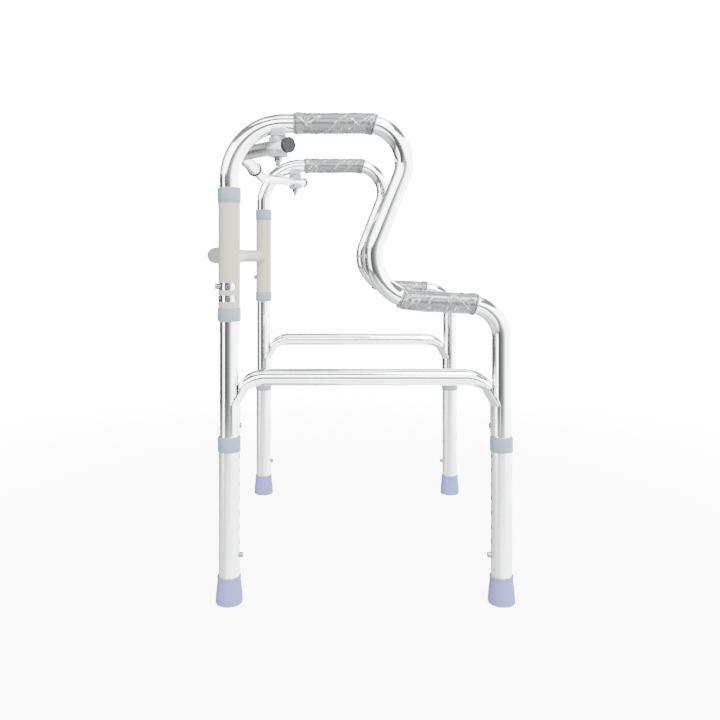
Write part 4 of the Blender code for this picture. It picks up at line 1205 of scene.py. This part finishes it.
class WALKER_OT_side_braces(bpy.types.Operator):
    """Make the two low side braces, crushed to saddles where they meet the legs"""

    bl_idname = "walker.side_braces"
    bl_label = "Side Braces"

    def execute(self, context):
        sizes = context.scene.walker_tubes
        inner = sizes.radius + 0.5 * MM
        inset = inner + CRUSHED_WALL / 2
        front, rear = POST_X + inset, REAR_X - inset
        for side, way in SIDES.items():
            node = side + "_side_brace"
            y = way * POST_Y
            bottom, top = levels(node)
            top -= sizes.brace_radius
            places = ((front, bottom), (front, top), (rear, top), (rear, bottom))
            route = Route([Vector((x, y, z)) for x, z in places], [38 * MM, 38 * MM])
            brace = new_piece(side + "_low_brace", loft(self.rings(route, y, inner)), buffed_aluminium)
            rivet = middle(side + "_front_brace_rivet").z
            holes = drill(Vector((POST_X, y, rivet)), X_AXIS, 2 * sizes.radius, RIVET_HOLE)
            drill(Vector((REAR_X, y, rivet)), -X_AXIS, 2 * sizes.radius, RIVET_HOLE, holes)
            cut(brace, holes)
            show(brace, node)
            self.rivets(side, y, rivet)
        return {"FINISHED"}

    def rings(self, route, y, inner):
        """Rings along a brace, round in its run and crushed towards its ends."""
        sides = 64
        round_radius = bpy.context.scene.walker_tubes.brace_radius
        bend_end = route.bends[0][1]
        flat = 44.5 * MM  # how much of each end is fully crushed
        near = route.spread(0, bend_end, 1.2 * MM)
        straight = route.spread(bend_end, route.length - bend_end, 9 * MM)
        rings = []
        for distance in near + straight[1:-1] + [route.length - d for d in reversed(near)]:
            point, heading = route.at(distance)
            x, facing = (POST_X, 1) if distance < route.length / 2 else (REAR_X, -1)
            from_end = min(distance, route.length - distance)
            share = sin(pi / 2 * min(max((from_end - flat) / (bend_end - flat), 0.0), 1.0))
            to_leg = heading.cross(Y_AXIS)
            bulge = round_radius * abs(to_leg.x) - (facing * (point.x - x) - inner)
            centre = point + X_AXIS * (facing * max(bulge, 0.0))
            round_ring = circle(centre, Y_AXIS, to_leg, round_radius, sides)
            flat_ring = crushed_ring(x, y, point.z, facing, inner, sides)
            if (round_ring[0] - centre).dot(flat_ring[0] - flat_ring[sides // 2]) < 0:
                round_ring = circle(centre, Y_AXIS, -to_leg, round_radius, sides)
            rings.append([f.lerp(r, share) for f, r in zip(flat_ring, round_ring)])
        return rings

    def rivets(self, side, y, height):
        """One rivet, copied to the far leg and turned round by Geometry Nodes."""
        sizes = bpy.context.scene.walker_tubes
        back = sizes.radius - sizes.wall - 1.9 * MM
        seat = sizes.radius + 2.6 * MM
        corners = [
            (0, back, 0),
            (3.2 * MM, back, 0.3 * MM),
            (3.2 * MM, back + 1 * MM, 0),
            (2.3 * MM, back + 1 * MM, 0),
            (2.3 * MM, seat, 0),
            (4 * MM, seat, 0.2 * MM),
            (3.6 * MM, seat + 1.8 * MM, 1.6 * MM),
            (0, seat + 1.9 * MM, 0),
        ]
        step = (REAR_X - POST_X, 0, 0)
        rivets = twins(side + "_brace_rivets", corners, 6, X_AXIS, step, pi, Vector((POST_X, y, height)))
        show(rivets, side + "_front_brace_rivet", side + "_rear_brace_rivet")


def twins(name, corners, steps, axis, step, turn, place):
    """A turned steel piece and its copy a step on, turned about the vertical, by Geometry Nodes."""
    pair = turned(name, corners, Vector(), axis, zinc_plated_steel, steps, 40)
    run_nodes(pair, turned_copies, zinc_plated_steel, Count=2, Step=step, Turn=turn)
    pair.data.transform(Matrix.Translation(place))
    return pair


def slot_cutter(centre, height, way, inner, outer):
    """A bent bar with round ends, to cut a level slot round the outer face of a sleeve."""
    radius = height / 2
    half_turn = radius / ((inner + outer) / 2)
    first, last = -radians(3), radians(118)
    swings = [radians(a) for a in range(9, 91, 9)]
    columns = [(first - half_turn * cos(s), radius * sin(s)) for s in swings]
    columns += [(first + (last - first) * i / 40, radius) for i in range(1, 40)]
    columns += [(last + half_turn * cos(s), radius * sin(s)) for s in reversed(swings)]
    rings = []
    for turn, half in columns:
        angle = pi - way * turn
        places = ((inner, -half), (outer, -half), (outer, half), (inner, half))
        ring = [Vector((reach * cos(angle), reach * sin(angle), rise)) for reach, rise in places]
        rings.append([centre + point for point in ring])
    return loft(rings)


class WALKER_OT_front_bar(bpy.types.Operator):
    """Make the painted front bar: two slotted sleeves, the bowed cross tube and the bushes"""

    bl_idname = "walker.front_bar"
    bl_label = "Front Bar"

    def execute(self, context):
        sizes = context.scene.walker_tubes
        outer = (high("left_post_sleeve").y - low("left_post_sleeve").y) / 2
        bore = sizes.radius + SLIDE_GAP
        for side, way in SIDES.items():
            node = side + "_post_sleeve"
            bottom, top = levels(node)
            centre = Vector((POST_X, way * POST_Y, 0))
            rows = [top - (top - bottom) * i / 40 for i in range(41)]
            profile = [(outer, z) for z in rows] + [(bore, z) for z in reversed(rows)]
            sleeve = new_piece(side + "_sleeve", revolve(profile, centre, sides=72, loop=True), powder_coat)
            for lock, opening in (("_fold_button", 11 * MM), ("_guide_pin", 10 * MM)):
                at = centre + Z_AXIS * middle(side + lock).z
                cut(sleeve, slot_cutter(at, opening, way, bore - 3 * MM, outer + 3 * MM))
            show(sleeve, node)
            for which, axis in (("upper", Z_AXIS), ("lower", -Z_AXIS)):
                collar = "%s_sleeve_%s_collar" % (side, which)
                bush("%s_%s_bush" % (side, which), collar, outer, 6.5 * MM, axis, which == "upper")
        height = middle("front_cross_tube").z
        bowed = low("front_cross_tube").x + sizes.cross_radius
        shoulder = POST_Y - 62 * MM
        places = ((POST_X, -POST_Y), (bowed, -shoulder), (bowed, shoulder), (POST_X, POST_Y))
        corners = [Vector((x, y, height)) for x, y in places]
        route = Route(corners, [110 * MM, 110 * MM])
        tube = swept_tube("bowed_cross_tube", route, sizes.cross_radius, 1.5 * MM, powder_coat)
        under = Z_AXIS * 30 * MM
        cutters = drill(corners[0] - under, Z_AXIS, 60 * MM, outer, sides=72)
        drill(corners[3] - under, Z_AXIS, 60 * MM, outer, cutters, sides=72)
        cut(tube, cutters)
        for side in SIDES:
            weld = self.weld(side, route, outer)
            reshape(tube, lambda shape: shape.from_mesh(weld.data))
            remove(weld)
        show(tube, "front_cross_tube")
        return {"FINISHED"}

    def weld(self, side, route, outer):
        """The painted weld bead where the cross tube meets a sleeve, with 1.8 mm ripples."""
        point, heading = route.at(0 if side == "left" else route.length)
        if side == "right":
            heading = -heading
        across = heading.cross(Z_AXIS).normalized()
        radius = bpy.context.scene.walker_tubes.cross_radius + 0.3 * MM
        points = []
        for i in range(120):
            level = radius * cos(2 * pi * i / 120)
            reach = sqrt(max(outer**2 - level**2, 0)) + 0.2 * MM
            points.append(point + across * level + Z_AXIS * (radius * sin(2 * pi * i / 120)) + heading * reach)
        bead = swept_line(side + "_weld", points, 1.5 * MM, 12, powder_coat, closed=True)
        reshape(bead, face_outwards)
        for vertex in bead.data.vertices:
            angle = atan2(vertex.co.z - point.z, (vertex.co - point).dot(across))
            vertex.co += heading * (0.25 * MM * sin(angle * 44))
        return bead


class WALKER_OT_fold_locks(bpy.types.Operator):
    """Make the fold buttons, their leaf springs, and the guide pins in the sleeve slots"""

    bl_idname = "walker.fold_locks"
    bl_label = "Fold Locks"

    def execute(self, context):
        sizes = context.scene.walker_tubes
        inner = sizes.radius - sizes.wall
        back = inner - 2.6 * MM
        front, wall = back - 0.7 * MM, inner - CLIP_BACK
        for side, way in SIDES.items():
            node = side + "_fold_button"
            tip = POST_X - low(node).x
            corners = [
                (0, back, 0),
                (5.5 * MM, back, 0),
                (5.5 * MM, back + 1 * MM, 0),
                (4.5 * MM, back + 1 * MM, 0),
                (4.5 * MM, tip, 1.7 * MM),
                (0, tip, 0),
            ]
            button = turned(side + "_lock_button", corners, at_post(node), -X_AXIS, zinc_plated_steel, 6, 48)
            show(button, node)
            node = side + "_guide_pin"
            centre = at_post(node)
            corners = [
                (0, back, 0),
                (3.8 * MM, back, 0),
                (3.8 * MM, back + 1 * MM, 0),
                (2.5 * MM, back + 1 * MM, 0),
                (2.5 * MM, sizes.radius + 0.3 * MM, 0),
                (4.2 * MM, sizes.radius + 0.3 * MM, 0),
                (4.2 * MM, sizes.radius + 1.9 * MM, 0.6 * MM),
                (0, sizes.radius + 2 * MM, 0),
            ]
            show(turned(side + "_slot_pin", corners, centre, -X_AXIS, zinc_plated_steel, 4, 40), node)
            self.studs(side, way, centre)
            node = side + "_fold_spring"
            strip = new_piece(side + "_leaf_spring", hairpin(node, POST_X, -1, front, wall), blued_spring_steel)
            ends = strip_ends(*centre, -1, front, wall)
            show_bent(strip, node, side + "_frame", BODY_OF[side + "_fold_button"], *ends)
        return {"FINISHED"}

    def studs(self, side, way, centre):
        """The two studs that show in the middle of the slots."""
        radius = bpy.context.scene.walker_tubes.radius
        corners = [
            (0, radius - 4 * MM, 0),
            (5 * MM, radius - 4 * MM, 0),
            (5 * MM, radius - 2.6 * MM, 0),
            (2.8 * MM, radius - 2.6 * MM, 0),
            (2.8 * MM, radius - 0.4 * MM, 0.7 * MM),
            (0, radius - 0.4 * MM, 0),
        ]
        step = (0, 0, middle(side + "_fold_button").z - centre.z)
        studs = twins(side + "_slot_studs", corners, 5, Y_AXIS * way, step, 0.0, centre)
        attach(studs, BODY_OF[side + "_guide_pin"])


def arm_route(side):
    """Centre line of a top brace arm, from its plugged end into the cross run, and its radius."""
    sizes = bpy.context.scene.walker_tubes
    way = SIDES[side]
    radius = sizes.outer_arm if side == "left" else sizes.inner_arm
    bolt = middle(side + "_clamp_bolt")
    clamp = Vector((bolt.x, way * POST_Y, middle(side + "_brace_arm").z))
    turn = radians(50)
    outward = Vector((cos(turn), way * sin(turn), 0))
    edge = way * (high(side + "_arm_plug").y if way > 0 else low(side + "_arm_plug").y) - POST_Y
    past = (edge - (radius + PLUG_SKIRT) * cos(turn)) / sin(turn) - PLUG_FACE
    corner = clamp - outward * ((bolt.x - middle("brace_mouth_ring").x) / cos(turn))
    last = MOUTH if side == "left" else -95 * MM
    return Route([clamp + outward * past, corner, Vector((corner.x, last, corner.z))], [36 * MM]), radius


class WALKER_OT_top_brace(bpy.types.Operator):
    """Make the telescoping top brace: both arms, their end plugs and the mouth ring"""

    bl_idname = "walker.top_brace"
    bl_label = "Top Brace"

    def execute(self, context):
        for side, way in SIDES.items():
            route, radius = arm_route(side)
            start, heading = route.at(0)
            tube = swept_tube(side + "_arm", route, radius, 1.2 * MM, satin_anodised_aluminium)
            under = Vector((middle(side + "_clamp_bolt").x, way * POST_Y, start.z - 2 * radius))
            cut(tube, drill(under, Z_AXIS, 4 * radius, BOLT_HOLE))
            show(tube, side + "_brace_arm")
            self.plug(side, start, heading, radius)
        self.ring(context.scene.walker_tubes)
        return {"FINISHED"}

    def plug(self, side, start, heading, radius):
        """An end plug, with a skirt over the arm's end and a dished, scuffed face."""
        spigot = radius - 1.5 * MM
        skirt = radius + PLUG_SKIRT
        corners = [
            (0, -0.9 * MM, 0),
            (radius - 1.6 * MM, -0.9 * MM, 0.2 * MM),
            (radius - 1.3 * MM, -PLUG_FACE, 0.2 * MM),
            (skirt, -PLUG_FACE, 0.6 * MM),
            (skirt, 4.5 * MM, 0.2 * MM),
            (radius + 0.1 * MM, 4.5 * MM, 0),
            (radius + 0.1 * MM, -0.2 * MM, 0),
            (spigot, -0.2 * MM, 0),
            (spigot - 0.4 * MM, 8 * MM, 0.4 * MM),
            (0, 8 * MM, 0),
        ]
        plug = turned(side + "_end_plug", corners, start, heading, plug_polyethylene)

        def on_face(at):
            depth = (at - start).dot(heading)
            return depth < -0.85 * MM and (at - start - heading * depth).length < radius - 1.7 * MM

        refinish(plug, scuffed_plug_face, on_face)
        show(plug, side + "_arm_plug")

    def ring(self, sizes):
        """The stepped ring in the mouth of the wider arm, black at its end and at its two steps."""
        node = "brace_mouth_ring"
        mouth = Vector((middle(node).x, MOUTH, middle("left_brace_arm").z))
        lap = mouth.y - low(node).y
        end = high(node).y - mouth.y
        outer = (high(node).z - low(node).z) / 2
        wide, narrow = sizes.outer_arm + SLIDE_GAP, sizes.inner_arm + SLIDE_GAP
        corners = [
            (wide, -lap, 0.2 * MM),
            (outer, -lap, 0.9 * MM),
            (outer, -lap + 5.6 * MM, 0.5 * MM),
            (outer - 1.1 * MM, -lap + 5.6 * MM, 0.2 * MM),
            (outer - 1.1 * MM, -lap + 9.8 * MM, 0.4 * MM),
            (outer - 2.2 * MM, -lap + 9.8 * MM, 0.2 * MM),
            (outer - 2.4 * MM, end, 0.8 * MM),
            (narrow, end, 0.3 * MM),
            (narrow, 0.3 * MM, 0),
            (wide, 0.3 * MM, 0),
        ]
        ring = turned("arm_mouth_ring", corners, mouth, Y_AXIS, ring_acetal, loop=True)
        black_bands = ((-1, 0.9 * MM), (5 * MM, 6 * MM), (9.2 * MM, 10 * MM))

        def on_lip(at):
            along = at.y - mouth.y + lap
            return any(first < along < last for first, last in black_bands)

        refinish(ring, plug_polyethylene, on_lip)
        show(ring, node)


def moulded_block(centre, along, span, width, bottom, top):
    """An upright block with rounded corners and softened edges, its length along a heading."""
    corner, edge = 5 * MM, 0.8 * MM
    across = Z_AXIS.cross(along)
    rings = []
    for inset, height in (
        (edge, bottom),
        (edge * 0.3, bottom + edge * 0.3),
        (0, bottom + edge),
        (0, top - edge),
        (edge * 0.3, top - edge * 0.3),
        (edge, top),
    ):
        ring = []
        for sign_a, sign_b, first in ((1, 1, 0), (-1, 1, 1), (-1, -1, 2), (1, -1, 3)):
            for i in range(9):
                turn = pi / 2 * (first + i / 8)
                a = sign_a * (span / 2 - corner) + (corner - inset) * cos(turn)
                b = sign_b * (width / 2 - corner) + (corner - inset) * sin(turn)
                point = centre + along * a + across * b
                ring.append(Vector((point.x, point.y, height)))
        rings.append(ring)
    return loft(rings)


class WALKER_OT_clamps(bpy.types.Operator):
    """Make the clamps under the upper handles: saddles, bolts, washers and cap nuts"""

    bl_idname = "walker.clamps"
    bl_label = "Clamps"

    def execute(self, context):
        radius = context.scene.walker_tubes.radius + SADDLE_GAP
        for side, way in SIDES.items():
            centre = Vector((middle(side + "_clamp_bolt").x, way * POST_Y, 0))
            handle = side_route(side)
            first, last = (mark + 40 * MM for mark in handle.bends[0])
            rings = [handle.ring(distance, radius, 64) for distance in handle.spread(first, last, 2 * MM)]
            size = (X_AXIS, 22 * MM, 26 * MM)
            self.saddle(side + "_upper_saddle", side + "_handle_saddle", centre, size, loft(rings))
            route, arm_radius = arm_route(side)
            start, inward = route.at(0)
            for which in ("upper", "lower"):
                at = centre + inward * 26 * MM + Z_AXIS * start.z
                bore = drill(at, -inward, 52 * MM, arm_radius + SADDLE_GAP, sides=64)
                name, node = "%s_%s_arm_saddle" % (side, which), "%s_arm_%s_saddle" % (side, which)
                self.saddle(name, node, centre, (-inward, 20 * MM, 24 * MM), bore)
            self.bolt(side, centre)
        return {"FINISHED"}

    def saddle(self, name, node, centre, size, bore):
        """A moulded block with its tube's bore and its bolt's hole."""
        bottom, top = levels(node)
        saddle = new_piece(name, moulded_block(centre, *size, bottom, top), clamp_nylon)
        cut(saddle, bore, drill(centre + Z_AXIS * (bottom - 20 * MM), Z_AXIS, 60 * MM, BOLT_HOLE))
        show(saddle, node)

    def bolt(self, side, centre):
        """The bolt, its washer and its domed cap nut."""
        node = side + "_clamp_bolt"
        bottom, top = levels(node)
        corners = [
            (0, bottom, 0),
            (3 * MM, bottom, 0),
            (3 * MM, top - 2.5 * MM, 0),
            (5 * MM, top - 2.5 * MM, 0.2 * MM),
            (4.6 * MM, top, 1.6 * MM),
            (0, top, 0),
        ]
        show(turned(side + "_bolt", corners, centre, Z_AXIS, zinc_plated_steel, 5, 40), node)
        if side == "right":
            node = "right_clamp_stem"
            bottom, top = levels(node)
            corners = [(0, bottom, 0), (3 * MM, bottom, 0), (3 * MM, top, 0), (0, top, 0)]
            show(turned("right_bolt_stem", corners, centre, Z_AXIS, zinc_plated_steel, sides=40), node)
        node = side + "_clamp_washer"
        bottom, top = levels(node)
        corners = [
            (7 * MM, bottom, 0.2 * MM),
            (7 * MM, top, 0.3 * MM),
            (BOLT_HOLE, top, 0.2 * MM),
            (BOLT_HOLE, bottom, 0.2 * MM),
        ]
        show(turned(side + "_washer", corners, centre, Z_AXIS, zinc_plated_steel, 3, 56, loop=True), node)
        node = side + "_cap_nut"
        bottom, top = levels(node)
        base = top - 5.5 * MM
        hexagon = [(0, base), (5.1 * MM, base), (5.8 * MM, base + 1 * MM), (5.8 * MM, top), (0, top)]
        shape = revolve(hexagon, centre, Z_AXIS, 6)
        dome = rounded([(3.9 * MM, base + 2 * MM, 0), (3.9 * MM, bottom, 3.8 * MM), (0, bottom, 0)], 8)
        revolve([(0, base + 2 * MM)] + dome, centre, Z_AXIS, 48, shape=shape)
        show(new_piece(side + "_capped_nut", shape, zinc_plated_steel), node)


# Stage

# What the bright tubes mirror, as (place, square root of the brightness). Places on the
# walls are degrees from the camera, positive towards +X. Places up the walls are sines.
WALLS = (
    (-180, 0.3), (-158, 0.26), (-150, 0.13), (-120, 0.15), (-96, 0.09), (-88, 0.13), (-78, 0.45),
    (-66, 0.9), (-54, 0.95), (-47, 0.3), (-40, 0.12), (-28, 0.12), (-18, 0.14), (-6, 0.18), (6, 0.22),
    (15, 0.28), (24, 0.44), (32, 0.62), (43, 0.95), (58, 0.72), (70, 1.0), (165, 1.0), (180, 0.7),
)
# Over and under eye level only the left of the studio is darker.
UPPER_WALLS = (
    (-180, 0.34), (-155, 0.2), (-125, 0.2), (-105, 0.3), (-72, 0.9),
    (-50, 1.0), (100, 1.0), (165, 0.9), (180, 0.5),
)
LOWER_WALLS = ((-180, 0.17), (-46, 0.17), (-22, 0.72), (0, 0.85), (60, 0.9), (165, 0.9), (180, 0.5))
CEILING = (
    (-1, 1.0), (0.56, 1.0), (0.62, 0.2), (0.82, 0.2), (0.88, 1.0),
    (0.93, 1.0), (0.95, 0.4), (0.98, 0.4), (0.99, 1.0), (1, 1.0),
)
# How much of the walls shows, up and down: they end a little over and under eye level.
EYE_LEVEL = ((-1, 0.0), (-0.30, 0.0), (-0.24, 1.0), (0.13, 1.0), (0.17, 0.0), (1, 0.0))


class WALKER_OT_stage(bpy.types.Operator):
    """Make the pale floor, the soft studio light and the camera"""

    bl_idname = "walker.stage"
    bl_label = "Stage"

    def execute(self, context):
        studio = context.scene.walker_studio
        self.floor(studio)
        self.surroundings(context, studio)
        self.lamp()
        self.camera(context, studio)
        return {"FINISHED"}

    def floor(self, studio):
        shape = bmesh.new()
        bmesh.ops.create_circle(shape, cap_ends=True, segments=96, radius=studio.floor_size)
        mesh = bpy.data.meshes.new("floor")
        shape.to_mesh(mesh)
        shape.free()
        mesh.materials.append(surface(white_vinyl))
        floor = link("floor", mesh)
        floor.location.z = -0.5 * MM

    def surroundings(self, context, studio):
        """A white studio whose dark gaps give the bright tubes their dark lines."""
        world = bpy.data.worlds.new("studio")
        world.use_nodes = True
        context.scene.world = world
        tree = world.node_tree
        tree.nodes.clear()
        heading = add(tree, "ShaderNodeTexCoord").outputs["Generated"]
        parts = add(tree, "ShaderNodeSeparateXYZ", {"Vector": heading}).outputs
        back = maths(tree, "MULTIPLY", parts["Y"], -1.0)
        share = ranged(tree, maths(tree, "ARCTAN2", parts["X"], back), 0.0, 1.0, -pi, pi)
        rise = ranged(tree, parts["Z"], 0.0, 1.0, -1.0, 1.0)
        walls, upper, lower = (self.ramp(tree, share, w, 180) for w in (WALLS, UPPER_WALLS, LOWER_WALLS))
        ceiling, level = (self.ramp(tree, rise, stops, 1) for stops in (CEILING, EYE_LEVEL))
        outer = mixed(tree, maths(tree, "GREATER_THAN", parts["Z"], 0.0), lower, upper)
        darkest = maths(tree, "MINIMUM", mixed(tree, level, outer, walls), ceiling)
        glare = maths(tree, "MULTIPLY", maths(tree, "POWER", darkest, 2.0), studio.glare)
        # Matt surfaces get more light from the camera's side and a little more from the right.
        from_right = maths(tree, "MULTIPLY_ADD", parts["X"], 0.2, 0.72)
        sided = maths(tree, "MULTIPLY_ADD", back, 0.75, from_right)
        soft = maths(tree, "MULTIPLY", maths(tree, "MAXIMUM", sided, 0.1), studio.brightness)
        path = add(tree, "ShaderNodeLightPath").outputs
        lit = mixed(tree, path["Is Glossy Ray"], soft, glare)
        seen = mixed(tree, path["Is Camera Ray"], lit, studio.backdrop)
        light = first_of(tree, "ShaderNodeBackground", {"Color": (1, 1, 1, 1), "Strength": seen})
        add(tree, "ShaderNodeOutputWorld", {"Surface": light})

    def ramp(self, tree, factor, stops, reach):
        """Brightness by place, from (place, brightness) pairs between minus and plus the reach."""
        ramp = add(tree, "ShaderNodeValToRGB", {"Fac": factor})
        marks = ramp.color_ramp.elements
        while len(marks) > 1:
            marks.remove(marks[-1])
        marks[0].position = 0.0
        marks[0].color = (stops[0][1],) * 3 + (1,)
        for place, value in stops[1:]:
            marks.new((place + reach) / (2 * reach)).color = (value,) * 3 + (1,)
        return ramp.outputs[0]

    def lamp(self):
        """One broad soft lamp above and behind the camera, to the right."""
        data = bpy.data.lights.new("soft_box", "AREA")
        data.shape = "DISK"
        data.size = 1.5
        data.energy = 180
        lamp = link("soft_box", data)
        lamp.location = (0.9, -1.8, 3.0)
        lamp.rotation_euler = (Vector((0, 0, 0.4)) - lamp.location).to_track_quat("-Z", "Y").to_euler()

    def camera(self, context, studio):
        """The photograph's view: level, along the side frames, a little over their middle."""
        data = bpy.data.cameras.new("camera")
        data.lens = studio.lens
        data.sensor_width = 36
        # The photograph was cropped off centre: its axis is at (338, 257.3) of 720 pixels.
        data.shift_x = (360 - 338) / 720
        data.shift_y = (257.3 - 360) / 720
        camera = link("camera", data)
        camera.location = (POST_X + studio.eye_along, -POST_Y - studio.distance, studio.eye_height)
        camera.rotation_euler = (pi / 2, 0, 0)
        context.scene.camera = camera


OPERATORS = (
    WALKER_OT_side_tubes,
    WALKER_OT_hand_grips,
    WALKER_OT_legs,
    WALKER_OT_feet,
    WALKER_OT_snap_clips,
    WALKER_OT_side_braces,
    WALKER_OT_front_bar,
    WALKER_OT_fold_locks,
    WALKER_OT_top_brace,
    WALKER_OT_clamps,
    WALKER_OT_stage,
)
GROUPS = {
    "walker_tubes": WalkerTubeSizes,
    "walker_fittings": WalkerFittingSizes,
    "walker_finishes": WalkerFinishes,
    "walker_studio": WalkerStudio,
}


class WALKER_PT_panel(bpy.types.Panel):
    """Sizes, colours and makers of the walking frame"""

    bl_idname = "WALKER_PT_panel"
    bl_label = "Walking Frame"
    bl_space_type = "VIEW_3D"
    bl_region_type = "UI"
    bl_category = "Walking Frame"

    def draw(self, context):
        column = self.layout.column()
        for name, group in GROUPS.items():
            box = column.box()
            box.label(text=group.__doc__)
            for key in group.__annotations__:
                box.prop(getattr(context.scene, name), key)
        for operator in OPERATORS:
            column.operator(operator.bl_idname)


CLASSES = tuple(GROUPS.values()) + OPERATORS + (WALKER_PT_panel,)


def register():
    for item in CLASSES:
        bpy.utils.register_class(item)
    for name, group in GROUPS.items():
        setattr(bpy.types.Scene, name, PointerProperty(type=group))


def unregister():
    for name in GROUPS:
        delattr(bpy.types.Scene, name)
    for item in reversed(CLASSES):
        bpy.utils.unregister_class(item)


def main():
    register()
    for operator in OPERATORS:
        group, name = operator.bl_idname.split(".")
        getattr(getattr(bpy.ops, group), name)()


if __name__ == "__main__":
    main()
